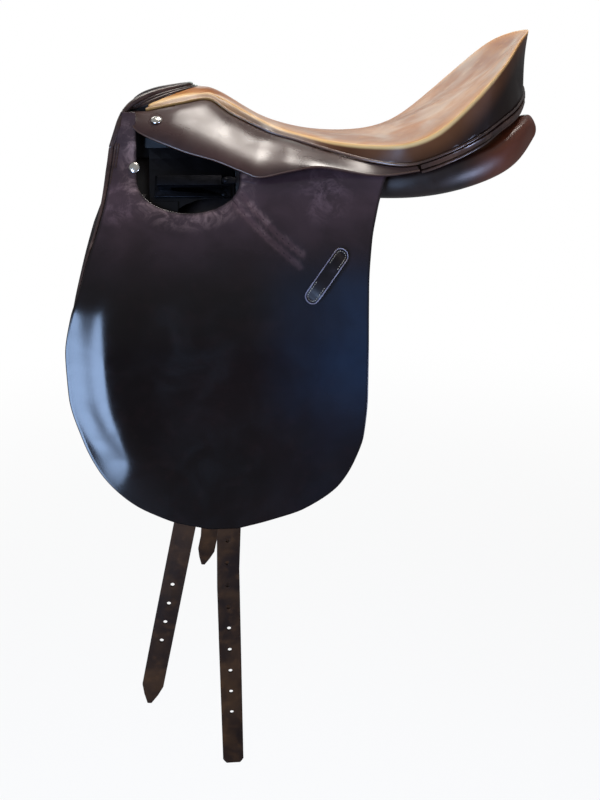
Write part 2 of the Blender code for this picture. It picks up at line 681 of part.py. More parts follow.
def make_rear_band():
    """The strip round the foot of the cantle, with its own welt below it."""
    shares = np.linspace(BAND_START, 1, 13)
    inner = np.array([[below_welt(s, SKIRT_SEAM + band_height(s) * w) for s in shares]
                      for w in (0.0, 0.5, 1.0)])
    outer = offset(inner, BAND_LEATHER, centre_column=True)
    inner = offset(inner, -BAND_LEATHER * 0.3, centre_column=True)
    mirrored_slab("rear_band", inner, outer, finish("band_leather", HAVANA, 0.35), closed_top=True)
    half = [below_welt(s, SKIRT_SEAM + band_height(s) + WELT_ROOM + WELT_RADIUS) for s in shares]
    tube("band_welt", across_centre(half), WELT_RADIUS, finish("band_welt_leather", HAVANA, 0.3))


# Tree

BOARD_START = 0.74


def make_tree_plate():
    """Laminated beech plate round the seat, open in the middle."""
    rows = [[at(tree_inner, s) + (at(tree_outer, s) - at(tree_inner, s)) * v for s in np.linspace(0, 1, 23)]
            for v in (0.0, 1.0)]
    lower = np.array(rows)
    lower[:, -1, 1] = 0
    upper = lower + np.array([0, 0, TREE_PLY])
    mirrored_slab("tree_plate", lower, upper, finish("laminated_beech", BEECH, 0.6), closed_top=True)


def make_cantle_board():
    """The board that stands on the tree plate behind the rider."""
    rows = []
    columns = np.linspace(BOARD_START, 1, 13)
    for v in (0.0, 0.35, 0.7, 1.0):
        row = []
        for s in columns:
            foot = at(tree_outer, 0.60 + (s - BOARD_START) / (1 - BOARD_START) * 0.40)
            foot = foot + np.array([0, 0, TREE_PLY + FIT])
            inward = unit((at(rim, s) - at(spine, s)) * (1, 1, 0))
            head = at(rim, s) - inward * 0.012
            behind = head - inward * CANTLE_BOARD * 1.3
            room = monotone(((BOARD_START, 0.010), (0.9, 0.002)), s)
            head[2] = min(seat_lining(head[0], head[1]), seat_lining(behind[0], behind[1])) - room
            row.append(foot + (head - foot) * v)
        rows.append(row)
    outer = np.array(rows)
    outer[:, -1, 1] = 0
    inner = offset(outer, CANTLE_BOARD, centre_column=True)
    for foot in (*inner[0], *outer[0]):
        foot[2] = plan_height(tree_upper, foot[0], foot[1]) + 3 * FIT
    mirrored_slab("cantle_board", inner, outer, finish("cantle_beech", BEECH, 0.6), closed_top=True)


def arch_face(share, depth):
    """A point of the arch at a depth below its outer face."""
    here = at(arch_line, share)
    ahead = at(arch_line, share + 0.02) - at(arch_line, share - 0.02)
    return here - unit(np.array([0, -ahead[2], ahead[1]])) * depth


def arch_strip(name, low, high, width, material):
    """A strip bent over the withers, between two distances outside the arch's outer face."""
    half = [at(arch_line, s) for s in np.linspace(1, 0, 13)]
    half[-1][1] = 0
    half = np.array(half)
    tangents = np.gradient(half, axis=0) * (0, 1, 1)
    tangents[-1] = (0, -1, 0)
    tangents /= np.linalg.norm(tangents, axis=1, keepdims=True)
    away = np.column_stack([np.zeros(len(half)), tangents[:, 2], -tangents[:, 1]])
    grids = []
    for distance in (low, high):
        middle = half + away * distance
        middle[0, 2] = CHEEK_TOP + 2 * FIT
        grids.append(np.array([middle + (-width / 2, 0, 0), middle, middle + (width / 2, 0, 0)]))
    return mirrored_slab(name, grids[0], grids[1], material, closed_top=True)


def make_arch():
    arch = arch_strip("head_arch", -ARCH_THICKNESS, 0.0, ARCH_WIDTH, finish("arch_beech", BEECH, 0.6))
    plate = arch_strip("head_plate", FIT, FIT + PLATE_STEEL, ARCH_WIDTH * 0.8,
                       finish("head_steel", STEEL, 0.45, 1.0))
    arch_strip("gullet_plate", -ARCH_THICKNESS - FIT - PLATE_STEEL, -ARCH_THICKNESS - FIT, ARCH_WIDTH * 0.9,
               finish("gullet_steel", STEEL, 0.45, 1.0))
    for label, side in SIDES.items():
        here = at(arch_line, 0.40)
        ahead = at(arch_line, 0.44) - at(arch_line, 0.36)
        away = unit(np.array([0, -ahead[2], ahead[1]]))
        middle = here + away * (FIT + PLATE_STEEL + 0.0002)
        frame = axes_frame((middle[0], middle[1] * side, middle[2]), (1, 0, 0), (0, away[1] * side, away[2]))
        rivet("head_rivet_" + label, frame, (arch, plate), finish("rivet_steel_" + label, STEEL, 0.4, 1.0))


def rivet(name, frame, sheets, material):
    """A rivet with a round head on the outermost sheet, and its shank in a hole through all of them."""
    profile = ((0, -RIVET_DEPTH), (RIVET_SHANK / 2, -RIVET_DEPTH), (RIVET_SHANK / 2, FIT),
               (RIVET_HEAD / 2, FIT),
               (RIVET_HEAD * 0.38, FIT + RIVET_RISE * 0.8), (0, FIT + RIVET_RISE))
    turned(name, profile, frame, material, 10)
    width = RIVET_SHANK + 2 * FIT
    for sheet in sheets:
        hole = prism(name + "_hole_in_" + sheet.name, ellipse(width, width, count=10),
                     -RIVET_DEPTH - FIT, RIVET_HEAD, material, frame)
        cut(sheet, hole)


def cheek_grid(distance):
    """Face of a cheek of the tree, at a distance inside the flap's inner face."""
    rows = []
    for w in np.linspace(0, 1, 7):
        row = []
        for x in np.linspace(CHEEK_FRONT, CHEEK_REAR, 8):
            z = CHEEK_TOP + (monotone(CHEEK_LOW, x) - CHEEK_TOP) * w
            row.append((x, flap_base(x, z) - distance, z))
        rows.append(row)
    return np.array(rows)


def make_cheeks():
    for label, side in SIDES.items():
        slab("tree_cheek_" + label, cheek_grid(CHEEK_ROOM + CHEEK_THICKNESS), cheek_grid(CHEEK_ROOM),
             finish("cheek_beech_" + label, BEECH, 0.6), side)


def make_springs():
    """Steel strips beside the rails, which let the seat give."""
    for label, side in SIDES.items():
        rows = []
        for across in (SPRING_WIDTH + 3 * FIT, 3 * FIT):
            row = []
            for s in np.linspace(0.04, 0.62, 14):
                point = at(tree_inner, s)
                sideways = unit((at(tree_outer, s) - point) * (1, 1, 0))
                row.append(point - sideways * across + np.array([0, 0, 0.003]))
            rows.append(row)
        lower = np.array(rows)
        slab("spring_strip_" + label, lower, lower + np.array([0, 0, SPRING_STEEL]),
             finish("spring_steel_" + label, STEEL, 0.35, 1.0), side)


def make_cross_webs():
    """Linen webs nailed across the rails under the seat."""
    linen = finish("linen_web", LINEN, 0.9)
    for label, x in CROSS_WEB_X.items():
        rows = []
        for offset_x in (-WEB_WIDTH / 2, 0, WEB_WIDTH / 2):
            row = []
            for v in (0.9, 0.5, 0.0, None):
                s = share_at_x(tree_inner, x + offset_x)
                inner, outer = at(tree_inner, s), at(tree_outer, share_at_x(tree_outer, x + offset_x))
                point = inner * (1, 0, 1) if v is None else inner + (outer - inner) * v
                point[0] = x + offset_x
                point[2] = plan_height(tree_upper, point[0], point[1]) + WEB_LIFT
                row.append(point)
            rows.append(row)
        lower = np.array(rows)
        upper = lower + np.array([0, 0, WEB_THICKNESS])
        mirrored_slab("cross_web_" + label, lower, upper, linen, closed_top=True)


def make_long_web():
    """Linen web from the arch to the cantle, over the cross webs."""
    rows = []
    for h in (0.0, WEB_WIDTH / 2):
        rows.append([(x, h, plan_height(tree_upper, x, 0.0) + LONG_WEB_LIFT)
                     for x in np.linspace(-0.150, seat_x(88.8), 15)])
    lower = np.array(rows)[::-1]
    upper = lower + np.array([0, 0, WEB_THICKNESS])
    vertices, faces = slab_parts(lower, upper, closed_bottom=False)
    both = faces + [tuple(i + len(vertices) for i in face) for face in faces]
    add_object("long_web", one_side(vertices, -1) + one_side(vertices, 1), both,
               finish("long_linen", LINEN, 0.9))


def girth_web_line(x, middle):
    """Half of a web over the tree and down to a pair of girth straps, as (h, z) points at x."""
    edges = [at(tree_outer, share_at_x(tree_outer, middle + shift))[1]
             for shift in (-STRAP_WIDTH / 2, STRAP_WIDTH / 2)]
    rail = max(edges) + 0.001
    gap = at(tree_inner, share_at_x(tree_inner, middle))[1]
    over_gap = plan_height(tree_upper, x, 0.0) + GIRTH_WEB_LIFT
    over_rail = plan_height(tree_upper, x, rail) + GIRTH_WEB_LIFT
    line = [(0.0, over_gap), (gap, over_gap), (rail, over_rail)]
    top = plan_height(tree_upper, middle, rail)
    for z in np.linspace(top - 0.010, STRAP_TOP + 0.0006, 5):
        line.append((max(rail + 0.002, flap_base(middle, z) - STRAP_ROOM - STRAP_LEATHER * 0.75), z))
    return line


def make_girth_webs():
    """Webs that carry the girth straps."""
    for label, x in GIRTH_WEB_X.items():
        rows = []
        for offset_x in (-STRAP_WIDTH / 2, 0, STRAP_WIDTH / 2):
            line = girth_web_line(x + offset_x, x)
            rows.append([(x + offset_x, h, z) for h, z in line[::-1]])
        lower = np.array(rows)
        upper = offset(lower, WEB_THICKNESS, centre_column=True)
        if upper[0, -1, 2] < lower[0, -1, 2]:
            upper = offset(lower, -WEB_THICKNESS, centre_column=True)
        mirrored_slab("girth_web_" + label, lower, upper, finish("girth_linen_" + label, LINEN, 0.9),
                      closed_top=True)


# Stirrup bars

def bar_frame(side):
    """Frame of a stirrup bar, with w = 0 on the plate's back: u runs to the rear and w outwards.

    The frame is right-handed, so v points up on the near side and down on the off side.
    """
    step = 0.005
    h = flap_base(BAR_X, BAR_Z)
    to_rear = Vector((2 * step, side * (flap_base(BAR_X + step, BAR_Z) - flap_base(BAR_X - step, BAR_Z)), 0))
    up = Vector((0, side * (flap_base(BAR_X, BAR_Z + step) - flap_base(BAR_X, BAR_Z - step)), 2 * step))
    out = up.cross(to_rear) if side < 0 else to_rear.cross(up)
    out = out if out.y * side > 0 else -out
    frame = axes_frame((BAR_X, side * (h - CHEEK_ROOM), BAR_Z), to_rear, out)
    back = frame.inverted()
    highest = 0.0
    for row in cheek_grid(CHEEK_ROOM):
        for x, cheek_h, z in row:
            local = back @ Vector((x, side * cheek_h, z))
            if abs(local.x) < BAR_PLATE_LENGTH / 2 + 0.008 and abs(local.y) < BAR_PLATE_HEIGHT / 2 + 0.006:
                highest = max(highest, local.z)
    return frame @ Matrix.Translation((0, 0, highest + FIT))


def make_stirrup_bars():
    for label, side in SIDES.items():
        frame = bar_frame(side)
        steel = finish("forged_steel_" + label, STEEL, 0.35, 1.0)
        blade_low = BAR_PLATE_STEEL + BAR_REACH
        blade_high = blade_low + BAR_THICKNESS
        front = -BAR_PLATE_LENGTH / 2 + 0.004
        rear = front + BAR_LENGTH
        bar = prism("stirrup_bar_" + label, rectangle(BAR_PLATE_LENGTH, BAR_PLATE_HEIGHT), 0, BAR_PLATE_STEEL,
                    steel, frame)
        foot_outline = rectangle(BAR_FOOT, BAR_HEIGHT - 0.001, (front + BAR_FOOT / 2 + 0.0005, 0))
        foot = prism("bar_foot_" + label, foot_outline,
                     BAR_PLATE_STEEL / 2, blade_low + BAR_THICKNESS / 2, steel, frame)
        blade = prism("bar_blade_" + label, rectangle(BAR_LENGTH, BAR_HEIGHT, ((front + rear) / 2, 0)),
                      blade_low, blade_high, steel, frame)
        ear = prism("bar_ear_" + label, rectangle(0.014, BAR_HEIGHT * 0.7, (rear + 0.003, 0)),
                    blade_low + FIT, blade_low + CATCH_EAR, steel, frame)
        pivot = (rear + BAR_HEIGHT * 0.35 + FIT, 0)
        hole = prism("bar_hole_" + label, ellipse(CATCH_PIN + 2 * FIT, CATCH_PIN + 2 * FIT, pivot, 10),
                     blade_low - 0.001, blade_high + 0.001, steel, frame)
        for piece in (foot, blade, ear):
            join(bar, piece)
        cut(bar, hole)
        make_catch(label, frame, pivot, blade_low + CATCH_EAR + FIT, blade_high)
        cheek = bpy.data.objects["tree_cheek_" + label]
        for end, (u, v) in RIVET_PLACES.items():
            seat = frame @ Matrix.Translation((u, -side * v, BAR_PLATE_STEEL))
            rivet("bar_rivet_" + label + "_" + end, seat, (bar, cheek),
                  finish("bar_rivet_steel", STEEL, 0.4, 1.0))


def make_catch(label, frame, pivot, low, high):
    """The catch that closes the bar's open end, and the pin it turns on."""
    height = BAR_HEIGHT * 0.7
    outline = stadium(CATCH_LENGTH, height, (pivot[0] + CATCH_LENGTH / 2 - height / 2, 0))
    catch = prism("bar_catch_" + label, outline, low, high,
                  finish("catch_steel_" + label, STEEL, 0.35, 1.0), frame)
    hole = prism("catch_hole_" + label, ellipse(CATCH_PIN + 2 * FIT, CATCH_PIN + 2 * FIT, pivot, 10),
                 low - 0.001, high + 0.001, catch.data.materials[0], frame)
    centre = frame @ Vector((pivot[0], pivot[1], low))
    place_origin(catch, centre)
    cut(catch, hole)
    pin_frame = frame @ Matrix.Translation((pivot[0], pivot[1], low - CATCH_EAR - FIT))
    top = high - low + CATCH_EAR + FIT
    profile = ((0, 0), (CATCH_PIN / 2, 0), (CATCH_PIN / 2, top + FIT), (CATCH_PIN, top + FIT),
               (CATCH_PIN, top + FIT + 0.0008), (0, top + FIT + 0.0012))
    turned("catch_pin_" + label, profile, pin_frame, finish("pin_steel_" + label, STEEL, 0.3, 1.0), 10)


# Skirts, flaps and what hangs between them

def skirt_grid():
    """Outer face of a skirt, from the seam of the seat to its free lower edge."""
    end = share_at_x(welt, seat_x(65.8))
    shares = [k / (SEAT_COLUMNS - 1) for k in range(SEAT_COLUMNS) if k / (SEAT_COLUMNS - 1) < end - 0.01]
    top = [seat_space([SKIRT_FRONT_CORNER])[0]] + [below_welt(s, SKIRT_SEAM) for s in shares + [end]]
    top = np.array(top)
    along = np.concatenate([[0], np.cumsum(np.linalg.norm(np.diff(top, axis=0), axis=1))])
    along /= along[-1]
    low = smooth_path(seat_space(SKIRT_LOW))
    rows = []
    for w in np.linspace(0, 1, 6):
        row = []
        for u, a in zip(along, top):
            b = at(low, u)
            out = unit(np.array([0, a[2] - b[2], b[1] - a[1]]))
            most = min(SKIRT_SWELL, 0.12 * np.linalg.norm(b - a))
            swell = most * math.sin(math.pi * w) * monotone(SKIRT_FULLNESS, u)
            row.append(a + (b - a) * w + out * swell)
        rows.append(row)
    return np.array(rows)


def make_skirts():
    outer = skirt_grid()
    inner = offset(outer, -SKIRT_LEATHER)
    for label, side in SIDES.items():
        skirt = slab("skirt_" + label, inner, outer, finish("skirt_leather_" + label, HAVANA, 0.3), side)
        frame = nail_frame(outer, *SKIRT_NAIL, side)
        cut(skirt, nail_hole("skirt_nail_hole_" + label, frame))
        make_nail("skirt_nail_" + label, frame)


def nail_frame(grid, x, z, side):
    """Frame on the outer face of a grid at x and z, with its third axis outwards."""
    centres = (grid[:-1, :-1] + grid[:-1, 1:] + grid[1:, :-1] + grid[1:, 1:]) / 4
    away = np.hypot(centres[:, :, 0] - x, centres[:, :, 2] - z)
    r, c = np.unravel_index(np.argmin(away), away.shape)
    out = unit(np.cross(grid[r + 1, c + 1] - grid[r, c], grid[r + 1, c] - grid[r, c + 1]))
    out *= 1 if out[1] > 0 else -1
    middle = centres[r, c]
    h = middle[1] - (out[0] * (x - middle[0]) + out[2] * (z - middle[2])) / out[1]
    return axes_frame((x, h * side, z), (1, 0, 0), (out[0], out[1] * side, out[2]))


def nail_hole(name, frame):
    return prism(name, ellipse(NAIL_SHANK + 2 * FIT, NAIL_SHANK + 2 * FIT, count=8),
                 -NAIL_DEPTH - 0.002, NAIL_RISE,
                 finish("cutter_" + name, NICKEL, 0.5), frame)


def make_nail(name, frame):
    """A domed nail head with its shank through the leather."""
    profile = ((0, -NAIL_DEPTH), (NAIL_SHANK / 2, -NAIL_DEPTH), (NAIL_SHANK / 2, FIT * 2),
               (NAIL_HEAD / 2, FIT * 2), (NAIL_HEAD / 2, NAIL_RISE * 0.35),
               (NAIL_HEAD * 0.40, NAIL_RISE * 0.75), (NAIL_HEAD * 0.22, NAIL_RISE), (0, NAIL_RISE * 1.08))
    turned(name, profile, frame, finish("nickel_" + name, NICKEL, 0.25, 1.0), 14)


def flap_rows(levels, columns):
    """Inner face of the flap at the given levels."""
    rows = []
    for z in levels:
        front, rear = monotone(FLAP_FRONT_EDGE, z), monotone(FLAP_REAR_EDGE, z)
        rows.append([(front + (rear - front) * c, flap_h(front + (rear - front) * c, z), z) for c in columns])
    return np.array(rows)


def root_grid():
    """Inner face of the fixed root of the flap, from its top under the skirt to the fold."""
    low = FOLD_HEIGHT + FOLD_GAP / 2
    rows = []
    for w in np.linspace(0, 1, 4):
        row = []
        for k in np.linspace(0, 1, 19):
            front, rear = monotone(FLAP_FRONT_EDGE, low), monotone(FLAP_REAR_EDGE, low)
            x = front + (rear - front) * k
            high = monotone(ROOT_TOP, x)
            z = high + (low - high) * w
            shift = (monotone(FLAP_FRONT_EDGE, z) - front) * (1 - k)
            shift += (monotone(FLAP_REAR_EDGE, z) - rear) * k
            row.append((x + shift, flap_h(x + shift, z), z))
        rows.append(row)
    return np.array(rows)


def cutout(label, side):
    """The D-shaped opening in the flap through which the stirrup bar stands."""
    frame = Matrix(((1, 0, 0, 0), (0, 0, side, 0), (0, 1, 0, 0), (0, 0, 0, 1)))
    return prism("cutout_" + label, ellipse(CUTOUT_LENGTH, CUTOUT_HEIGHT, (CUTOUT_X, CUTOUT_Z), 20),
                 0.06, 0.16, finish("cutter_cutout_" + label, HAVANA, 0.5), frame)


def fold_axis(side):
    """Front and rear points of the line on which the flap lifts, on its outer face."""
    levels = (FOLD_HEIGHT + 0.004, FOLD_HEIGHT, FOLD_HEIGHT - 0.004)
    top = offset(flap_rows(levels, FLAP_COLUMNS), FLAP_LEATHER)[1]
    front, rear = top[0], top[-1]
    slope = (rear[1] - front[1]) / (rear[0] - front[0])
    proud = max(p[1] - front[1] - slope * (p[0] - front[0]) for p in top) + 0.0005
    z = max(p[2] for p in top) + 0.0002
    return (Vector((front[0], side * (front[1] + proud), z)), Vector((rear[0], side * (rear[1] + proud), z)))


FLAP_COLUMNS = (0.0, 0.04, 0.09, 0.14, 0.19, 0.25, 0.35, 0.48, 0.61, 0.74, 0.87, 1.0)
FLAP_LEVELS = (FOLD_HEIGHT - FOLD_GAP / 2, -0.010, -0.034, -0.060, -0.090, -0.125, -0.165, -0.205, -0.243,
               -0.275, -0.302, -0.324, -0.340, -0.350, -0.3545, -0.357)
flap_lining = flap_rows(FLAP_LEVELS, FLAP_COLUMNS)


def make_flaps():
    root, lower = root_grid(), flap_lining
    root_face, lower_face = offset(root, FLAP_LEATHER), offset(lower, FLAP_LEATHER)
    for label, side in SIDES.items():
        opening = cutout(label, side)
        fixed = slab("flap_root_" + label, root, root_face,
                     finish("flap_root_leather_" + label, HAVANA, 0.32), side)
        frame = nail_frame(root_face, *FLAP_NAIL, side)
        cut(fixed, nail_hole("flap_nail_hole_" + label, frame))
        cut(fixed, opening)
        make_nail("flap_nail_" + label, frame)
        flap = slab("flap_" + label, lower, lower_face, finish("flap_leather_" + label, HAVANA, 0.32), side)
        place_origin(flap, fold_axis(side)[0])
        cut(flap, opening)
        make_keeper(label, side)


def make_keeper(label, side):
    """Loop on the flap that holds the end of the stirrup leather."""
    tilt = math.radians(KEEPER_TILT)
    along = np.array([math.cos(tilt), math.sin(tilt)])
    across = np.array([math.sin(tilt), -math.cos(tilt)])
    half = KEEPER_LENGTH / 2
    rows = []
    lifts = []
    stations = (-1.0, -0.97, -0.90, -0.80, -0.68, -0.5, -0.2, 0.2, 0.5, 0.68, 0.80, 0.90, 0.97, 1.0)
    for share in stations:
        s = share * half
        near_end = min(1.0, (half - abs(s)) / (KEEPER_WIDTH / 2))
        width = KEEPER_WIDTH / 2 * max(0.25, math.sqrt(1 - (1 - near_end) ** 2))
        row = []
        for c in (-1, 0, 1):
            place = np.array([KEEPER_X, KEEPER_Z]) + along * s + across * width * c
            row.append((place[0], flap_h(place[0], place[1]), place[1]))
        rows.append(row)
        lifts.append(KEEPER_ROOM * monotone(((0.62, 1.0), (0.80, 0.0)), abs(share)))
    base = np.array(rows)
    face = offset(base, 1.0) - base
    face *= 1 if face[0, 0, 1] > 0 else -1
    lift = FLAP_LEATHER + 2 * FIT + np.array(lifts)[:, None, None]
    slab("keeper_" + label, base + face * lift, base + face * (lift + KEEPER_LEATHER),
         finish("keeper_leather_" + label, HAVANA, 0.35), side)


SWEAT_LEVELS = (-0.014, -0.034, -0.060, -0.090, -0.125, -0.165, -0.205, -0.243, -0.275, -0.302, -0.322,
                -0.332, -0.336)
POCKET_DEPTH = STRAP_ROOM + STRAP_LEATHER + STRAP_ROOM + STRAP_PLAY


def make_sweat_flaps():
    """Thin leather under the girth straps, sewn to the panel."""
    rows = []
    for z in SWEAT_LEVELS:
        front, rear = monotone(SWEAT_FRONT_EDGE, z), monotone(SWEAT_REAR_EDGE, z)
        rows.append([(x, flap_base(x, z) - POCKET_DEPTH - SWEAT_LEATHER, z)
                     for x in np.linspace(front, rear, 8)])
    inner = np.array(rows)
    outer = inner + np.array([0, SWEAT_LEATHER, 0])
    for label, side in SIDES.items():
        slab("sweat_flap_" + label, inner, outer, finish("sweat_leather_" + label, RUSSET, 0.5), side)


ROLL_WIDTH = 0.046
ROLL_HEAD_DEPTH = 0.0058


def make_knee_rolls():
    """Tapered pads between the sweat flap and the front of the flap."""
    shares = (0.0, 0.06, 0.2, 0.4, 0.6, 0.8, 0.94, 1.0)
    facing = flap_lining[:, :, (0, 2, 1)]
    inner, outer = [], []
    for z in (0.009, 0.002, -0.018, -0.045, -0.075, -0.110, -0.145, -0.185, -0.220, -0.250, -0.264, -0.270):
        end = min(1.0, (0.009 - z) / 0.012, (z + 0.270) / 0.030)
        end = math.sqrt(max(0.0, 1 - (1 - end) ** 2)) * 0.9 + 0.1
        front = monotone(KNEE_ROLL_EDGE, z)
        low_row, high_row = [], []
        for share in shares:
            x = front + ROLL_WIDTH * share
            depth = monotone(((-0.050, POCKET_DEPTH - 4 * FIT), (-0.005, ROLL_HEAD_DEPTH)), z)
            back = flap_base(x, z) - depth
            face = plan_height(facing, max(x, monotone(FLAP_FRONT_EDGE, z)), z) - 3 * FIT
            bulge = (1 - abs(2 * share - 1) ** 3) ** (1 / 3)
            middle = back + (face - back) * 0.35 * (1 - bulge)
            low_row.append((x, middle, z))
            high_row.append((x, middle + (face - middle) * bulge * end + FIT, z))
        inner.append(low_row)
        outer.append(high_row)
    for label, side in SIDES.items():
        slab("knee_roll_" + label, inner, outer, finish("knee_roll_leather_" + label, RUSSET, 0.4), side)


def strap_outline(strap):
    """Rows of the strap's inner face, three points wide, and the centre on which it swings."""
    line = strap["line"]
    radius = STRAP_WIDTH / 2
    top, tip = line[0][0], line[-1][0]
    levels = [top - radius * d for d in (0.02, 0.15, 0.45, 1.0)]
    levels += list(np.linspace(top - radius - 0.03, tip + 0.045, 10))
    end = 0.024 if strap["pointed"] else 0.006
    levels += [tip + end, tip + end * 0.5, tip + 0.0003]
    rows = []
    for z in levels:
        from_top = min(1.0, (top - z) / radius)
        width = radius * math.sqrt(1 - (1 - from_top) ** 2)
        remaining = min(1.0, (z - tip) / end)
        floor = 0.16 if strap["pointed"] else 0.62
        width *= floor + (1 - floor) * (remaining ** 0.75)
        slope = (monotone(line, z + 0.004) - monotone(line, z - 0.004)) / 0.008
        across = np.array([1, -slope]) / math.hypot(1, slope)
        row = []
        for c in (-1, 0, 1):
            x, level = np.array([monotone(line, z), z]) + across * width * c
            row.append((x, flap_base(x, level) - STRAP_ROOM - STRAP_LEATHER, level))
        rows.append(row)
    pivot = (monotone(line, top - radius), flap_base(line[0][1], top - radius) - STRAP_ROOM, top - radius)
    return np.array(rows), pivot


def make_straps():
    """The four girth straps with their punched holes."""
    for label, strap in STRAPS.items():
        inner, pivot = strap_outline(strap)
        outer = inner + np.array([0, STRAP_LEATHER, 0])
        side = strap["side"]
        piece = slab("billet_" + label, inner, outer, finish("strap_leather_" + label, RUSSET, 0.45), side)
        place_origin(piece, (pivot[0], pivot[1] * side, pivot[2]))
        vertices, faces = [], []
        for number in range(strap["holes"]):
            z = strap["first_hole"] - number * strap["pitch"]
            ring = ellipse(STRAP_HOLE, STRAP_HOLE, (monotone(strap["line"], z), z), 8)
            start = len(vertices)
            vertices += [(x, side * 0.170, level) for x, level in ring]
            vertices += [(x, side * 0.200, level) for x, level in ring]
            faces += [tuple(start + i for i in range(8))[::-1], tuple(start + 8 + i for i in range(8))]
            faces += [(start + i, start + (i + 1) % 8, start + 8 + (i + 1) % 8, start + 8 + i)
                      for i in range(8)]
        holes = add_object("holes_" + label, vertices, faces, finish("cutter_holes_" + label, RUSSET, 0.5))
        cut(piece, holes)


# Panels

def panel_section(x):
    """Middle line and thickness of a panel at one place of its length."""
    line = [(x, monotone([(s[0], s[k][0]) for s in PANEL_SECTIONS], x),
             monotone([(s[0], s[k][1]) for s in PANEL_SECTIONS], x)) for k in range(1, 5)]
    return smooth_path(line, 61), monotone([(s[0], s[5]) for s in PANEL_SECTIONS], x)


PANEL_STATIONS = [-0.264, -0.259, -0.243, -0.220, -0.195, -0.165, -0.135, -0.105, -0.070, -0.035]
PANEL_STATIONS += [seat_x(p) for p in (51.9, 59.7, 67.6, 75.4, 83.2, 89.5, 94.0, 96.9, 98.8, 99.8, 100.1)]
PANEL_SHARES = (0.0, 0.04, 0.14, 0.32, 0.5, 0.68, 0.86, 0.96, 1.0)


def make_panels():
    lower, upper = [], []
    for x in PANEL_STATIONS:
        line, thickness = panel_section(x)
        low_row, high_row = [], []
        for v in PANEL_SHARES:
            middle = at(line, v)
            ahead = at(line, min(v + 0.04, 1)) - at(line, max(v - 0.04, 0))
            up = unit(np.array([0, -ahead[2], ahead[1]]))
            half = thickness / 2 * (1 - abs(2 * v - 1) ** PANEL_EDGE_POWER) ** (1 / PANEL_EDGE_POWER)
            low_row.append(middle - up * half)
            high_row.append(middle + up * half)
        lower.append(low_row)
        upper.append(high_row)
    for label, side in SIDES.items():
        slab("panel_" + label, lower, upper, finish("panel_leather_" + label, HAVANA, 0.4), side)


def make_channel():
    """Leather that closes the top of the channel between the panels."""
    edge = 4 * FIT
    rows = []
    for share in (1.0, 0.66, 0.33, 0.0):
        row = []
        for x in np.linspace(-0.184, seat_x(95.7), 14):
            inner = at(panel_section(x)[0], 0)
            rise = monotone(CHANNEL_RISE, x) * (1 - share ** 2)
            row.append((x, (inner[1] - edge) * share, inner[2] + rise))
        rows.append(row)
    lower = np.array(rows)
    upper = lower + np.array([0, 0, CHANNEL_LEATHER])
    vertices, faces = slab_parts(lower, upper, closed_bottom=False)
    both = faces + [tuple(i + len(vertices) for i in face) for face in faces]
    add_object("channel_lining", one_side(vertices, -1) + one_side(vertices, 1), both,
               finish("channel_leather", HAVANA, 0.5))


def make_point_pockets():
    """Leather leaf over the lower end of each cheek, sewn to the panel."""
    rows = []
    for z in (0.001, -0.004, -0.009, -0.0135):
        rows.append([(x, flap_base(x, z) - CHEEK_ROOM + 2 * FIT, z) for x in np.linspace(-0.2325, -0.198, 5)])
    inner = np.array(rows)
    outer = inner + np.array([0, POCKET_LEATHER, 0])
    for label, side in SIDES.items():
        slab("point_pocket_" + label, inner, outer, finish("pocket_leather_" + label, RUSSET, 0.5), side)


# Pommel

def make_pommel():
    """Roll and facing over the front of the arch."""
    edge = smooth_path(seat_space(POMMEL_EDGE))
    half = [at(edge, s) for s in np.linspace(1, 0, 17)]
    half[-1][1] = 0
    tube("pommel_roll", across_centre(half), ROLL_RADIUS, finish("pommel_roll_leather", HAVANA, 0.3))

    seam = smooth_path(seat_space(POMMEL_SEAM))
    shares = [k / 16 for k in range(12, -1, -1)]
    rows = []
    for w in np.linspace(0, 1, 4):
        row = []
        for s in shares:
            front, back = at(edge, s), at(seam, s / shares[0])
            along = unit(at(edge, s + 0.01) - at(edge, s - 0.01)) if s else np.array([0, 1, 0])
            toward = back - front
            start = front + unit(toward - along * np.dot(toward, along)) * (ROLL_RADIUS + 1.7 * WELT_ROOM)
            row.append(start + (back - start) * w)
        rows.append(row)
    outer = np.array(rows)
    outer[:, -1, 1] = 0
    inner = offset(outer, -FACING_LEATHER, centre_column=True)
    mirrored_slab("pommel_facing", inner, outer, finish("pommel_facing_leather", HAVANA, 0.3),
                  closed_top=True)

    normals = (outer - inner)[0] / FACING_LEATHER
    rows = []
    for w in np.linspace(0, 1, 4):
        row = []
        for normal, s in list(zip(normals, shares))[4:]:
            front = at(edge, s) - normal * (ROLL_RADIUS + FIT + monotone(((0.05, 0.0), (0.25, 0.0025)), s))
            back = arch_face(s * 1.2, (ARCH_THICKNESS + PLATE_STEEL) * monotone(((0.0, 1.0), (0.4, 0.0)), s))
            back = back - np.array([ARCH_WIDTH / 2 + FACING_LEATHER + 0.003, 0, 0])
            row.append(front + (back - front) * w)
        rows.append(row)
    outer = np.array(rows)
    outer[:, -1, 1] = 0
    inner = offset(outer, -FACING_LEATHER, centre_column=True)
    mirrored_slab("head_lining", inner, outer, finish("head_lining_leather", HAVANA, 0.45), closed_top=True)


def main():
    for old in list(bpy.data.objects):
        bpy.data.objects.remove(old, do_unlink=True)
    make_seat()
    make_seat_welt()
    make_rear_band()
    make_tree_plate()
    make_cantle_board()
    make_arch()
    make_cheeks()
    make_springs()
    make_cross_webs()
    make_long_web()
    make_girth_webs()
    make_stirrup_bars()
    make_skirts()
    make_flaps()
    make_sweat_flaps()
    make_knee_rolls()
    make_straps()
    make_panels()
    make_channel()
    make_point_pockets()
    make_pommel()


main()
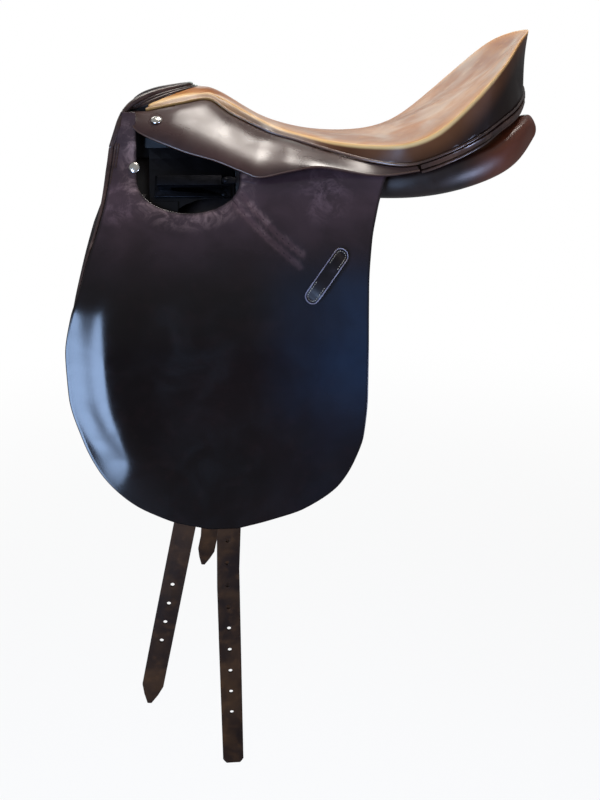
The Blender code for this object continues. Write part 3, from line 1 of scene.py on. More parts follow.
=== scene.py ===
"""Looks of an English riding saddle in waxed bridle leather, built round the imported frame.

Metres, +Z up, -X the pommel, -Y the near side, the rider's left. The flaps, skirts and welts
are worked out from the same outlines as the solids. The other pieces start from their solids.
"""
import json
import math

import bpy
import numpy as np
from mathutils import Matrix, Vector
from mathutils.kdtree import KDTree


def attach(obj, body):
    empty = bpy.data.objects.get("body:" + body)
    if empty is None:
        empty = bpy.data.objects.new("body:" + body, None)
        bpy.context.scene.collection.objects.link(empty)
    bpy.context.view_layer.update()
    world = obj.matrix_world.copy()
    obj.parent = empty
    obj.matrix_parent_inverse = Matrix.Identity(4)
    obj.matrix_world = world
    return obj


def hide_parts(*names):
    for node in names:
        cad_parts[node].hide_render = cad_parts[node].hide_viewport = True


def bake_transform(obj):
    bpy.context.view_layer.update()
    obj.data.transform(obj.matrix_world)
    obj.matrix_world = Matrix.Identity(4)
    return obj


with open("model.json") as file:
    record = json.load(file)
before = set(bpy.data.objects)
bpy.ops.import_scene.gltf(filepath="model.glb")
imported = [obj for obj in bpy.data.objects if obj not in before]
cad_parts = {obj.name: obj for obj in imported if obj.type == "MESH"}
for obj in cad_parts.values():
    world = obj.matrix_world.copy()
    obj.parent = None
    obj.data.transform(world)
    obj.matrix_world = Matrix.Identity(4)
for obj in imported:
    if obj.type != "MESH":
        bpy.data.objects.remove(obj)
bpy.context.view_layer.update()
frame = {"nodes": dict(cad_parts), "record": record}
NODES = frame["nodes"]
SIDES = {"near": -1, "off": 1}

# Sizes repeated from the construction
SEAT_FRONT = -0.232
SEAT_LENGTH = 0.447
SEAT_HALF_WIDTH = 0.133
SEAT_LOW = 0.0655
SEAT_LEATHER_THICKNESS = 0.003
CANTLE_RISE = 0.1175
WELT_RADIUS = 0.0017
WELT_ROOM = 0.001
SKIRT_SEAM = 2 * (WELT_ROOM + WELT_RADIUS)
SKIRT_LEATHER = 0.0035
SKIRT_SWELL = 0.008
FLAP_LEATHER = 0.004
FOLD_HEIGHT = 0.012
CUTOUT_X = -0.186
CUTOUT_Z = 0.022
CUTOUT_LENGTH = 0.112
CUTOUT_HEIGHT = 0.066
ROLL_RADIUS = 0.003
KEEPER_LENGTH = 0.069
KEEPER_WIDTH = 0.0175
KEEPER_X = -0.0395
KEEPER_Z = -0.075
KEEPER_TILT = 51.5

# Sizes that only the looks need: ends of bands, skirts and trim, and how full or thin they are
BAND_FRONT = SEAT_FRONT + SEAT_LENGTH * 0.664
SKIRT_REAR = SEAT_FRONT + SEAT_LENGTH * 0.658
ROLL_END = -0.085
POMMEL_ROLL_JOIN = 0.062
PIPING_RADIUS = 0.0013
PIPED_LAYERS = (0.0042, 0.0073)
PIPED_ENDS = (0.03, 0.036)
PIPING_END = 0.0
BEAD_TOP = 0.03
ROLL_OVERHANG = ROLL_RADIUS - 0.0006
RIM_REACH = 0.0008
WALL_OVERLAP = 0.0018
CANTLE_CREASE = ((0.15, 1.0), (0.195, 0.88))
SKIRT_FULLNESS = ((0.0, 0.35), (0.22, 1.0), (0.5, 0.8), (0.72, 0.25), (1.0, 0.0))
STITCH_PITCH = 0.0026
STITCH_LENGTH = 0.0022
THREAD_RADIUS = 0.0005
KEEPER_LIFT = 0.0003

# The flap's grid and its bend, the share of the window that is cut and the share drawn to its edge
FLAP_COLUMNS = 84
ROOT_ROWS = 12
FLAP_ROWS = 96
WINDOW_CUT = 1.02
WINDOW_SNAP = 1.22
BORDER_GAP = 0.02

# Drawn threads of the webs, 2.2 mm apart
WEAVE_SCALE = 1 / (0.0022 * 20)

# White background and its floor, and how much of the white shows in mirrors
FLOOR_HEIGHT = -1.15
FLOOR_RADIUS = 4.0
MIRRORED_WHITE = 0.12


def metres(*points):
    """A table of millimetres in metres."""
    return [tuple(value / 1000 for value in point) for point in points]


# Outlines repeated from the construction, in per cent of the seat
RIM = (
    (0.9, 40.6, 30.6), (9.4, 28.6, 38.3), (16.8, 20.3, 40), (23.9, 26.3, 26), (31.8, 33.8, 9.4),
    (39.6, 45.1, 0.9), (48.5, 67.7, -4.3), (57.5, 88.7, -5.1), (64.2, 98.5, -2.6),
    (70.9, 99.2, 7.7), (77.6, 95.1, 28.1), (84, 86.7, 50.8), (88.7, 77.1, 68.3),
    (93.9, 52.2, 89.4), (98, 26.3, 98), (100, 0, 100))
WELT = (
    (0, 45.1, 27.3), (8.9, 34.6, 33.2), (16.1, 24.8, 36.2), (22.2, 30.8, 22.1), (31.5, 38.3, 5.4),
    (38.5, 49.6, -2.1), (47.9, 71.4, -10.6), (56.2, 90.2, -16.9), (64.4, 99.6, -18.7),
    (73.3, 99.2, -8.3), (81.9, 91.4, 6.1), (87.7, 76.7, 17.4), (93.3, 55.6, 28.1),
    (97.3, 28.6, 38.7), (99, 0, 47.2))
SKIRT_FRONT_CORNER = (-3.5, 47.0, 24.7)
SKIRT_LOW = (
    (-4.2, 55.3, 18), (-1.3, 66.9, 6), (8.5, 79.7, -8.8), (16.9, 85, -17.7), (24.2, 89.5, -28.5),
    (27.9, 91.7, -32.3), (35.2, 93.2, -26.6), (42.5, 94.7, -22.7), (53.8, 98.5, -29.5),
    (59.3, 101.1, -30), (66.6, 103.4, -25.9))
POMMEL_SEAM = (
    (13, 0, 45.3), (11.7, 10.2, 44.3), (8.9, 20.3, 41.4), (5, 30.5, 36.6), (0.3, 41, 29.8),
    (-2.2, 43.8, 26.9), (-4.4, 46.4, 24.3), (-4.9, 51, 20))
POMMEL_EDGE = (
    (11.3, 0, 47), (10.6, 7, 46.5), (7.7, 16, 44.8), (1.9, 32.8, 40.4), (-2.6, 46.2, 33.4),
    (-5.1, 53, 24), (-6.6, 60.2, 12.3), (-7.2, 65, 0))

# The flap's inner face from the centre plane, as (z, h) pairs in millimetres down its front, waist
# and rear
FLAP_SECTIONS = (
    metres((94, 70.5), (75, 79.2), (45, 89), (20, 104), (0, 118), (-20, 131), (-60, 154),
           (-110, 174), (-160, 184), (-357, 190)),
    metres((60, 60), (45, 82), (30, 104), (12, 120.5), (0, 128), (-20, 139.5), (-60, 158.5),
           (-110, 175), (-160, 184), (-357, 190)),
    metres((60, 108), (40, 117), (20, 127), (0, 138), (-20, 148), (-60, 163), (-110, 176),
           (-160, 184), (-357, 190)))
SECTION_X = ((-0.235, 0.0), (-0.09, 1.0), (0.03, 2.0))
SWELL_INSET = 0.042
SWELL_SPREAD = 0.03
SWELL_DEPTH = metres((-335, 0), (-280, 6), (-200, 10), (-130, 10), (-60, 7), (-10, 0))

# Edges of the flap and the knee roll, as (z, x) pairs, and the flap's top edge, as (x, z) pairs
FLAP_FRONT_EDGE = metres(
    (96, -258), (70, -264.5), (36, -270.2), (4, -276), (-24, -283.5), (-53, -293.5), (-83, -303),
    (-113, -314.5), (-153, -321.5), (-195, -320.5), (-246, -308.5), (-282, -293), (-319, -261),
    (-346, -215.2), (-357, -172))
FLAP_REAR_EDGE = metres(
    (70, 40), (34, 34.1), (21, 28.4), (-9, 18.5), (-40, 11.4), (-87.5, 6.8), (-141.5, 5.8),
    (-204, 5.5), (-250, 1.5), (-273.5, -5.9), (-307, -24.8), (-336, -65.7), (-349, -106.7),
    (-357, -142))
KNEE_ROLL_EDGE = metres(
    (10, -278.5), (4, -280.4), (-24, -291.5), (-53, -300), (-83, -307.5), (-113, -315),
    (-153, -317), (-195, -315), (-270, -291))
ROOT_TOP = metres(
    (-272, 94), (-250, 91), (-235, 76), (-200, 64), (-160, 58), (-110, 45), (-60, 40),
    (-30, 35.5), (0, 32), (34, 28))

# Marks that the stirrup leather has pressed into the flap, as (x, z) points
PRESSED_LINES = (
    metres((-149.5, 15.8), (-136, -1.2), (-120.4, -18.1), (-101.6, -36.2), (-83.8, -51.4),
           (-68.1, -64.7)),
    metres((-130.1, 10.8), (-111.5, -11.2), (-88.6, -34.3), (-64.4, -52.5)))
PRESSED_DEPTH = 0.0014
PRESSED_WIDTH = 0.0032
# Paler spots of the flap, as (x, z, reach): scuffs by the keeper, and scuffs with a painted sheen
# by the front edge
SCUFF_AND_SHEEN_SPOTS = ((-0.262, 0.002, 0.03), (-0.038, 0.012, 0.04))

# Black lining behind the stirrup bar, as (x, h, z) points along its upper and lower edges
BAR_LINING_LEATHER = 0.0016
BAR_LINING_TOP = metres(
    (-257, 60, 96.5), (-244, 56, 97.5), (-232, 55, 98.5), (-222, 54, 97.5), (-208, 55, 96.5),
    (-196, 55.5, 95), (-184, 54.5, 94), (-172, 55, 92), (-160, 56, 89), (-148, 50, 87))
BAR_LINING_LOW = metres(
    (-257, 86.5, 45), (-246, 80, 45), (-234, 74, 45), (-220, 71, 45), (-200, 71, 45),
    (-180, 71, 45), (-160, 71, 45), (-130, 71, 45))


# Curves and surfaces

def monotone(table, position):
    """Reads a smooth curve through (position, value) pairs, without overshoot between them."""
    xs, ys = zip(*sorted(table))
    if not xs[0] < position < xs[-1]:
        return ys[0] if position <= xs[0] else ys[-1]
    slopes = [(ys[i + 1] - ys[i]) / (xs[i + 1] - xs[i]) for i in range(len(xs) - 1)]
    tangents = [slopes[0]]
    for before, after in zip(slopes, slopes[1:]):
        tangents.append(0.0 if before * after <= 0 else 2 * before * after / (before + after))
    tangents.append(slopes[-1])
    i = max(k for k in range(len(xs) - 1) if xs[k] <= position)
    step = xs[i + 1] - xs[i]
    u = (position - xs[i]) / step
    return (ys[i] * (1 + 2 * u) * (1 - u) ** 2 + tangents[i] * step * u * (1 - u) ** 2
            + ys[i + 1] * u * u * (3 - 2 * u) + tangents[i + 1] * step * u * u * (u - 1))


def lengths_along(points):
    """Length of a path up to each of its points."""
    return np.concatenate([[0], np.cumsum(np.linalg.norm(np.diff(points, axis=0), axis=1))])


def read_at(path, positions, places):
    """Points at some places of a path whose own points lie at the positions."""
    return np.stack([np.interp(places, positions, path[:, k]) for k in range(3)], axis=-1)


def smooth_path(points, count=161, meets_centre=False):
    """Evenly spaced points on a smooth curve through the given ones."""
    given = np.array(points, float)
    first = 2 * given[0] - given[1]
    last = given[-2] * (1, -1, 1) if meets_centre else 2 * given[-1] - given[-2]
    padded = np.vstack([first, given, last])
    fine = []
    for a, b, c, d in zip(padded, padded[1:], padded[2:], padded[3:]):
        for u in np.linspace(0, 1, 12, endpoint=False):
            fine.append(0.5 * (2 * b + (c - a) * u + (2 * a - 5 * b + 4 * c - d) * u ** 2
                               + (3 * b - a - 3 * c + d) * u ** 3))
    fine.append(given[-1])
    fine = np.array(fine)
    along = lengths_along(fine)
    return read_at(fine, along, np.linspace(0, along[-1], count))


def at(path, share):
    """The point at a share of the path's length."""
    return read_at(path, np.arange(len(path)), np.clip(share, 0, 1) * (len(path) - 1))


def share_at_x(path, x):
    """Share of the path's length at which it reaches x, on its way to the rear."""
    start = int(np.argmin(path[:, 0]))
    return float(np.interp(x, path[start:, 0], np.linspace(0, 1, len(path))[start:]))


def seat_space(outline):
    """Turns per cent of the seat's sizes into metres."""
    return [(SEAT_FRONT + SEAT_LENGTH * x / 100, SEAT_HALF_WIDTH * h / 100,
             SEAT_LOW + CANTLE_RISE * z / 100) for x, h, z in outline]


def unit(vector):
    return vector / np.linalg.norm(vector)


rim = smooth_path(seat_space(RIM), meets_centre=True)
welt = smooth_path(seat_space(WELT), meets_centre=True)
pommel_edge = smooth_path(seat_space(POMMEL_EDGE))
pommel_seam = smooth_path(seat_space(POMMEL_SEAM))


def below_welt(share, distance):
    """A point below the seam of the seat, square to the seam in the plane of the seat's side."""
    along = unit(at(welt, share + 0.01) - at(welt, share - 0.01))
    down = at(welt, share) - at(rim, share)
    down = unit(down - along * np.dot(down, along))
    point = at(welt, share) + down * distance
    if share >= 1:
        point[1] = 0
    return point


def across_centre(half):
    """A near half ending on the centre plane, continued over the off side."""
    return [(x, -h, z) for x, h, z in half] + [tuple(point) for point in half[-2::-1]]


def flap_h(x, z):
    """Distance from the centre plane to the flap's inner face."""
    sections = [monotone(s, z) for s in FLAP_SECTIONS]
    share = monotone(SECTION_X, x)
    low = min(int(share), 1)
    base = sections[low] + (sections[low + 1] - sections[low]) * (share - low)
    crest = monotone(KNEE_ROLL_EDGE, z) + SWELL_INSET
    return base + monotone(SWELL_DEPTH, z) * math.exp(-((x - crest) / SWELL_SPREAD) ** 2)


def flap_normal(x, z, side):
    """Outward direction of the flap's face."""
    step = 0.002
    slope_x = (flap_h(x + step, z) - flap_h(x - step, z)) / (2 * step)
    slope_z = (flap_h(x, z + step) - flap_h(x, z - step)) / (2 * step)
    return Vector((-slope_x, side, -slope_z)).normalized()


def on_flap(x, z, side, lift):
    """A point on the flap's outer face, raised by a lift."""
    return Vector((x, side * flap_h(x, z), z)) + flap_normal(x, z, side) * (FLAP_LEATHER + lift)


# Mesh tools

def switch(mode):
    bpy.ops.object.mode_set(mode=mode)


def activate(piece):
    if bpy.context.object and bpy.context.object.mode != "OBJECT":
        switch("OBJECT")
    bpy.ops.object.select_all(action="DESELECT")
    piece.select_set(True)
    bpy.context.view_layer.objects.active = piece


def in_edit_mode(piece, work):
    """Runs the work on the whole mesh in edit mode."""
    activate(piece)
    switch("EDIT")
    bpy.ops.mesh.select_all(action="SELECT")
    work()
    switch("OBJECT")


def add_modifier(piece, kind, **settings):
    modifier = piece.modifiers.new(kind.title(), kind)
    for key, value in settings.items():
        setattr(modifier, key, value)
    activate(piece)
    bpy.ops.object.modifier_apply(modifier=modifier.name)


def subdivide(piece, levels):
    add_modifier(piece, "SUBSURF", levels=levels, render_levels=levels)


def round_edges(piece, width, angle=40, segments=3):
    add_modifier(piece, "BEVEL", width=width, segments=segments, limit_method="ANGLE",
                 angle_limit=math.radians(angle), use_clamp_overlap=False, miter_outer="MITER_ARC")


def add_object(name, data):
    added = bpy.data.objects.new(name, data)
    bpy.context.scene.collection.objects.link(added)
    return added


def clear_selection():
    """Object mode with nothing selected, ready for a new primitive."""
    activate(NODES["tree_plate"])
    bpy.ops.object.select_all(action="DESELECT")


def body_of(node):
    bodies = frame["record"]["behaviour"]["bodies"]
    return next(body for body, members in bodies.items() if node in members)


def merged_copy(node, name, quads=True):
    """A copy of a solid whose loose triangles are joined again."""
    piece = add_object(name, NODES[node].data.copy())
    activate(piece)
    if piece.data.has_custom_normals:
        bpy.ops.mesh.customdata_custom_splitnormals_clear()

    def join_triangles():
        bpy.ops.mesh.remove_doubles(threshold=0.00001)
        if quads:
            widest = math.radians(60)
            bpy.ops.mesh.tris_convert_to_quads(face_threshold=widest, shape_threshold=widest)

    in_edit_mode(piece, join_triangles)
    return piece


def crease_sharp_edges(piece, angle, crease):
    def crease_them():
        bpy.ops.mesh.select_all(action="DESELECT")
        bpy.ops.mesh.edges_select_sharp(sharpness=math.radians(angle))
        bpy.ops.transform.edge_crease(value=crease)

    in_edit_mode(piece, crease_them)


def grid_piece(name, rows):
    """A sheet whose points are the given rows, made from a grid."""
    rows = np.array(rows, float)
    count, columns = rows.shape[:2]
    clear_selection()
    bpy.ops.mesh.primitive_grid_add(x_subdivisions=columns - 1, y_subdivisions=count - 1, size=1)
    piece = bpy.context.object
    piece.name = name
    piece.data.vertices.foreach_set("co", rows.reshape(-1).astype(np.float32))
    piece.data.update()
    return piece


def turn_outwards(piece):
    in_edit_mode(piece, lambda: bpy.ops.mesh.normals_make_consistent(inside=False))


def make_cord(name, points, radius, material, replaced=(), body="saddle", detail=4, shares=None):
    """A round leather cord with closed ends along the points; shares thin it here and there."""
    curve = bpy.data.curves.new(name, "CURVE")
    curve.dimensions = "3D"
    spline = curve.splines.new("POLY")
    spline.points.add(len(points) - 1)
    for place, point, share in zip(spline.points, points, shares or [1] * len(points)):
        place.co = (*point, 1)
        place.radius = share
    curve.bevel_depth = radius
    curve.bevel_resolution = detail
    curve.use_fill_caps = True
    activate(add_object(name, curve))
    bpy.ops.object.convert(target="MESH")
    piece = bpy.context.object
    turn_outwards(piece)
    finish_piece(piece, material, body, replaced, 60)
    return piece


def points_of(piece):
    flat = np.zeros(len(piece.data.vertices) * 3, np.float32)
    piece.data.vertices.foreach_get("co", flat)
    return flat.reshape(-1, 3)


def mark(piece, name, values):
    """Keeps one number for each point, which the material reads."""
    attribute = piece.data.attributes.new(name, "FLOAT", "POINT")
    attribute.data.foreach_set("value", np.asarray(values, np.float32))


def tree_of(points):
    """Finds the nearest of the points."""
    tree = KDTree(len(points))
    for number, point in enumerate(points):
        tree.insert(point, number)
    tree.balance()
    return tree


def distance_to(piece, path):
    """Distance of each point of a piece to a dense path."""
    find = tree_of(path).find
    return [find(point)[2] for point in points_of(piece)]


def denser(path, step):
    """The path with points a step apart."""
    path = np.array(path, float)
    along = lengths_along(path)
    return read_at(path, along, np.linspace(0, along[-1], max(2, int(along[-1] / step))))


# Materials

def linear(hex_colour):
    """A linear colour from an sRGB hex value."""
    parts = [int(hex_colour[i:i + 2], 16) / 255 for i in (1, 3, 5)]
    return (*[p / 12.92 if p <= 0.04045 else ((p + 0.055) / 1.055) ** 2.4 for p in parts], 1)


def fill(socket, value):
    """Gives a socket a number, a colour as a hex value, or a link to another node's output."""
    if isinstance(value, bpy.types.NodeSocket):
        socket.id_data.links.new(value, socket)
    else:
        socket.default_value = linear(value) if isinstance(value, str) else value


def add_node(beside, kind, inputs=None, **settings):
    """Adds one node to the tree of another, with its settings, and fills or links its inputs."""
    node = beside.id_data.nodes.new("ShaderNode" + kind)
    for key, value in settings.items():
        setattr(node, key, value)
    for key, value in (inputs or {}).items():
        fill(node.inputs[key], value)
    return node


def new_material(name, **settings):
    """A material, its Principled shader, which takes the settings, and the place on the piece."""
    material = bpy.data.materials.new(name)
    material.use_nodes = True
    shader = material.node_tree.nodes["Principled BSDF"]
    for key, value in settings.items():
        shader.inputs[key.replace("_", " ")].default_value = value
    return material, shader, add_node(shader, "TexCoord").outputs["Object"]


def maths(operation, first, second):
    """A sum on an output and a second value, which is a number or an output."""
    return add_node(first, "Math", {0: first, 1: second}, operation=operation).outputs[0]


def times(first, second):
    return maths("MULTIPLY", first, second)


def fade(source, low, high, first=0.0, last=1.0):
    """Turns a value between low and high into one between first and last."""
    inputs = {"Value": source, "From Min": low, "From Max": high, "To Min": first, "To Max": last}
    return add_node(source, "MapRange", inputs, interpolation_type="SMOOTHSTEP").outputs[0]


def mixed(share, first, second):
    """Mixes two colours, each a hex value or an output, by a share."""
    return add_node(share, "Mix", {0: share, 6: first, 7: second}, data_type="RGBA").outputs[2]


def noise(place, scale, detail=3.0, distortion=0.0, roughness=0.5):
    """Cloudy values round a half."""
    inputs = {"Vector": place, "Scale": scale, "Detail": detail, "Distortion": distortion,
              "Roughness": roughness}
    return add_node(place, "TexNoise", inputs).outputs[0]


def stretched(place, scale):
    """The place with its axes stretched, so that a noise becomes streaks."""
    return add_node(place, "Mapping", {"Vector": place, "Scale": scale}).outputs[0]


def mark_of(place, name):
    """The number that a mark keeps at each point of the mesh."""
    return add_node(place, "Attribute", attribute_name=name).outputs["Fac"]


def axes_of(place):
    return add_node(place, "SeparateXYZ", {"Vector": place}).outputs


def finish_shader(shader, colour, height, strength, depth, roughness=None):
    """Joins a colour, a bump and, where it varies, the roughness to the shader."""
    bump = add_node(shader, "Bump", {"Strength": strength, "Distance": depth, "Height": height})
    fill(shader.inputs["Base Color"], colour)
    fill(shader.inputs["Normal"], bump.outputs[0])
    if roughness is not None:
        fill(shader.inputs["Roughness"], roughness)


def leather(name, deep, middle, worn, gloss, grain, patches, specular, wear=None, edge_line=False):
    """Vegetable-tanned cowhide, dyed and waxed: mottled dye, fine pore grain and uneven polish.

    A piece with an edge line gets darkened cut edges and the creased line beside them. The real
    pores are 0.3 mm wide, which a render can't show, so they are drawn 1.2 mm wide.
    """
    material, shader, place = new_material(name, Specular_IOR_Level=specular, IOR=1.5)
    streaks = noise(stretched(place, (14.0, 14.0, 55.0)), 1.0, 3.0, 0.4)
    colour = mixed(fade(noise(place, patches, 4.0, 0.6), 0.32, 0.68), deep, middle)
    colour = mixed(fade(noise(place, 70.0, 4.0), 0.5, 0.8, 0.0, 0.35), colour, worn)
    colour = mixed(fade(streaks, 0.55, 0.8, 0.0, 0.22), colour, worn)
    if wear:
        colour = wear(place, colour)
    pores = add_node(place, "TexVoronoi", {"Vector": place, "Scale": 820.0}, feature="SMOOTH_F1")
    fine = noise(place, 210.0, 5.0, 0.8, 0.6)
    height = maths("ADD", times(pores.outputs["Distance"], 0.55), fine)
    if edge_line:
        edge = mark_of(place, "edge")
        inside, past = fade(edge, 0.0008, 0.002), fade(edge, 0.0022, 0.0034)
        crease = maths("SUBTRACT", inside, past)
        colour = mixed(fade(edge, 0.0008, 0.002, 0.75, 0.0), colour, deep)
        colour = mixed(times(crease, 0.4), colour, deep)
        height = maths("ADD", height, times(crease, -1.5))
    polish = fade(noise(place, 26.0, 5.0, 0.5), 0.3, 0.72, *gloss)
    finish_shader(shader, colour, height, grain, 0.0006, polish)
    return material


def metal(name, colour, tarnish, gloss, scratch=0.06, metallic=1.0):
    """Metal with a little tarnish in its hollows and fine handling marks."""
    material, shader, place = new_material(name, Metallic=metallic)
    cloudy = fade(noise(place, 160.0, 4.0), 0.45, 0.75, 0.0, 0.7)
    marks = noise(stretched(place, (90.0, 400.0, 900.0)), 1.0, 4.0)
    finish_shader(shader, mixed(cloudy, colour, tarnish), marks, scratch, 0.0003,
                  fade(marks, 0.3, 0.75, *gloss))
    return material


def seat_wear_and_painted_light(place, colour):
    """Tan top; darker wall, painted shade at its foot; rubbed rim with painted highlights."""
    top, rim_gap = mark_of(place, "top"), mark_of(place, "rim_gap")
    wall = mixed(fade(noise(place, 7.0, 4.0, 0.6), 0.3, 0.7), "#472714", "#643C22")
    # Painted shade: the side wall darkens towards its foot.
    wall = mixed(fade(rim_gap, 0.004, 0.03), wall, "#1A0B05")
    along = axes_of(place)[0]
    wall = mixed(fade(along, -0.15, -0.1), "#8E6232", wall)
    colour = mixed(fade(top, 0.42, 0.58), wall, colour)
    # The amber band along the rim is rubbed leather and a painted highlight.
    rubbed = times(fade(rim_gap, 0.0, 0.022, 1.0, 0.0), fade(top, 0.36, 0.5))
    colour = mixed(rubbed, colour, "#B9742C")
    # A pale painted highlight along the rim's edge.
    return mixed(fade(rim_gap, 0.001, 0.0052, 0.85, 0.0), colour, "#EDBE7C")


def flap_wear_and_painted_light(place, colour):
    """A painted purplish sheen at the top of the flap, scuffs where leg and stirrup leather rub,
    a painted sheen on the spot by the front edge, painted shade in the core of the pressed lines
    and a painted bluish reflection on the rear half.
    """
    parts = axes_of(place)
    high = fade(parts[2], -0.095, 0.03)
    # Painted sheen: the top of the flap is paler and purplish in cloudy patches.
    patch = fade(noise(place, 22.0, 5.0, 0.5), 0.3, 0.72, 0.5, 1.0)
    colour = mixed(times(high, patch), colour, "#433032")
    scuffs = fade(noise(place, 48.0, 7.0, 0.7, 0.7), 0.44, 0.7, 0.08, 1.0)
    flat = add_node(place, "VectorMath", {0: place, 1: (1.0, 0.0, 1.0)}, operation="MULTIPLY")
    # The spot by the front edge is scuffs with a painted sheen; the one by the keeper is scuffs.
    for x, z, reach in SCUFF_AND_SHEEN_SPOTS:
        ends = {0: flat.outputs[0], 1: (x, 0.0, z)}
        gap = add_node(place, "VectorMath", ends, operation="DISTANCE").outputs["Value"]
        spot = fade(gap, 0.2 * reach, reach, 0.6, 0.0)
        colour = mixed(times(spot, scuffs), colour, "#75595A")
    pressed = mark_of(place, "pressed")
    beside = fade(mark_of(place, "window_gap"), 0.002, 0.024, 1.0, 0.0)
    rubbed = times(maths("MAXIMUM", beside, pressed), scuffs)
    colour = mixed(times(rubbed, high), colour, "#8A6C64")
    # A pale rubbed band along each pressed line, and painted shade in its core.
    colour = mixed(fade(pressed, 0.1, 0.7, 0.0, 0.16), colour, "#6B4A4A")
    colour = mixed(fade(pressed, 0.86, 1.0, 0.0, 0.9), colour, "#0A0405")
    # Painted reflection: a bluish sheen on the rear half of the flap.
    behind = times(fade(parts[0], -0.13, -0.02), fade(parts[2], -0.03, -0.11))
    behind = times(behind, fade(parts[2], -0.27, -0.15, 0.2, 1.0))
    blue_sheen = fade(noise(place, 9.0, 4.0, 0.6), 0.25, 0.7, 0.35, 1.0)
    colour = mixed(times(behind, blue_sheen), colour, "#1A2534")
    return mixed(fade(mark_of(place, "edge"), 0.0, 0.001, 0.5, 0.0), colour, "#4A3430")


def skirt_wear(place, colour):
    """Paler leather in the middle of the skirt and along its lower edge."""
    edge = mark_of(place, "edge")
    colour = mixed(fade(edge, 0.004, 0.022, 0.0, 0.35), colour, "#553A31")
    return mixed(fade(edge, 0.0, 0.0016, 1.0, 0.0), colour, "#A87A58")


def panel_rear_tone(place, colour):
    """Lighter, redder leather on the rear end of the panel."""
    behind = fade(axes_of(place)[0], 0.11, 0.175, 0.0, 0.75)
    return mixed(behind, colour, "#6A3018")


def cord_wear(place, colour):
    """The seat's welt is tan beside the pommel and browner to the rear."""
    along = axes_of(place)[0]
    colour = mixed(fade(along, 0.02, 0.09, 0.8, 0.0), colour, "#6E4C38")
    return mixed(fade(along, -0.15, -0.095, 1.0, 0.0), colour, "#A67A43")


def linen(name, pale, dark):
    """Linen webbing in a plain weave, its real 1 mm threads drawn at twice that to show."""
    material, shader, place = new_material(
        name, Roughness=0.85, Sheen_Weight=0.3, Specular_IOR_Level=0.2)
    inputs = {"Vector": place, "Scale": WEAVE_SCALE, "Distortion": 0.6, "Detail": 1.0}
    waves = [add_node(place, "TexWave", inputs, bands_direction=axis).outputs[1] for axis in "XY"]
    weave = times(*waves)
    colour = mixed(fade(weave, 0.0, 0.6), dark, pale)
    slub = fade(noise(place, 240.0, 4.0), 0.45, 0.75, 0.0, 0.5)
    finish_shader(shader, mixed(slub, colour, dark), weave, 0.4, 0.0005)
    return material


def wool(name, pale, dark):
    """Carded wool flock under a thin cloth: soft tufts and no gloss."""
    material, shader, place = new_material(
        name, Roughness=0.95, Sheen_Weight=0.5, Specular_IOR_Level=0.1)
    tufts = noise(place, 180.0, 6.0, 1.5)
    colour = mixed(fade(tufts, 0.35, 0.7), dark, pale)
    finish_shader(shader, colour, tufts, 0.5, 0.001)
    return material


def beech_plies(name):
    """Laminated beech, glued from thin plies and varnished: pale lines across the thickness."""
    material, shader, place = new_material(name, Roughness=0.4, Coat_Weight=0.2)
    grain = noise(stretched(place, (6.0, 60.0, 60.0)), 4.0, 5.0, 0.8)
    plies = add_node(place, "TexWave", {"Vector": place, "Scale": 33.0, "Distortion": 0.2},
                     bands_direction="Z").outputs[1]
    colour = mixed(fade(grain, 0.35, 0.7), "#A97B4E", "#C79C6B")
    colour = mixed(fade(plies, 0.6, 0.9, 0.0, 0.45), colour, "#7A5230")
    finish_shader(shader, colour, grain, 0.12, 0.0004)
    return material


def thread(name, pale, dark):
    """Waxed linen thread, its natural colour darkened by handling."""
    material, shader, place = new_material(name, Roughness=0.6)
    fibres = fade(noise(place, 900.0), 0.35, 0.7)
    fill(shader.inputs["Base Color"], mixed(fibres, dark, pale))
    return material


# Waxed seat leather, tan aniline dye: the bottom polishes it to a soft sheen
SEAT_LEATHER = leather(
    "tan_aniline_seat_leather", "#8A4A1C", "#AE6726", "#C58A48", (0.28, 0.44), 0.035, 7.0, 0.28,
    seat_wear_and_painted_light)
# Bridle leather, havana dye, waxed and boned: nearly black, mirror-like where it is smooth
FLAP_HIDE = leather(
    "waxed_havana_bridle_leather", "#070304", "#0E0607", "#1A0C0C", (0.14, 0.24), 0.03, 6.0, 0.38,
    flap_wear_and_painted_light, True)
SKIRT_HIDE = leather(
    "worn_havana_skirt_leather", "#2A1613", "#3C221D", "#523630", (0.24, 0.38), 0.035, 12.0, 0.55,
    skirt_wear, True)
# Glazed calf over the stuffing: smooth, with a broad soft shine
PANEL_HIDE = leather(
    "glazed_panel_leather", "#0B0504", "#1A0C08", "#2E180F", (0.3, 0.46), 0.006, 9.0, 0.55,
    panel_rear_tone)
# Thin cords and bands of the same hide, rolled over string: browner where hands rub them
TRIM_HIDE = leather(
    "havana_welt_leather", "#2B1710", "#4A2E22", "#765844", (0.24, 0.4), 0.06, 22.0, 0.8)
ROLL_HIDE = leather(
    "rolled_edge_leather", "#281814", "#463028", "#866A58", (0.26, 0.42), 0.05, 22.0, 0.45)
SEAT_CORD = leather(
    "seat_welt_leather", "#27150F", "#432A20", "#6E5240", (0.24, 0.4), 0.06, 22.0, 0.8, cord_wear)
# Keeper loops, blocked hard, with their cut edges rubbed pale
KEEPER_HIDE = leather(
    "keeper_loop_leather", "#0B0607", "#171012", "#2E2428", (0.36, 0.52), 0.06, 24.0, 0.25)
EDGE_HIDE = leather(
    "rubbed_edge_leather", "#5E5560", "#867C84", "#B4ABAE", (0.35, 0.5), 0.04, 40.0, 0.4)
# Girth straps, havana butt leather: matt with cracks across the holes
STRAP_HIDE = leather(
    "havana_strap_leather", "#1A0D06", "#35200F", "#57371C", (0.46, 0.62), 0.08, 24.0, 0.1)
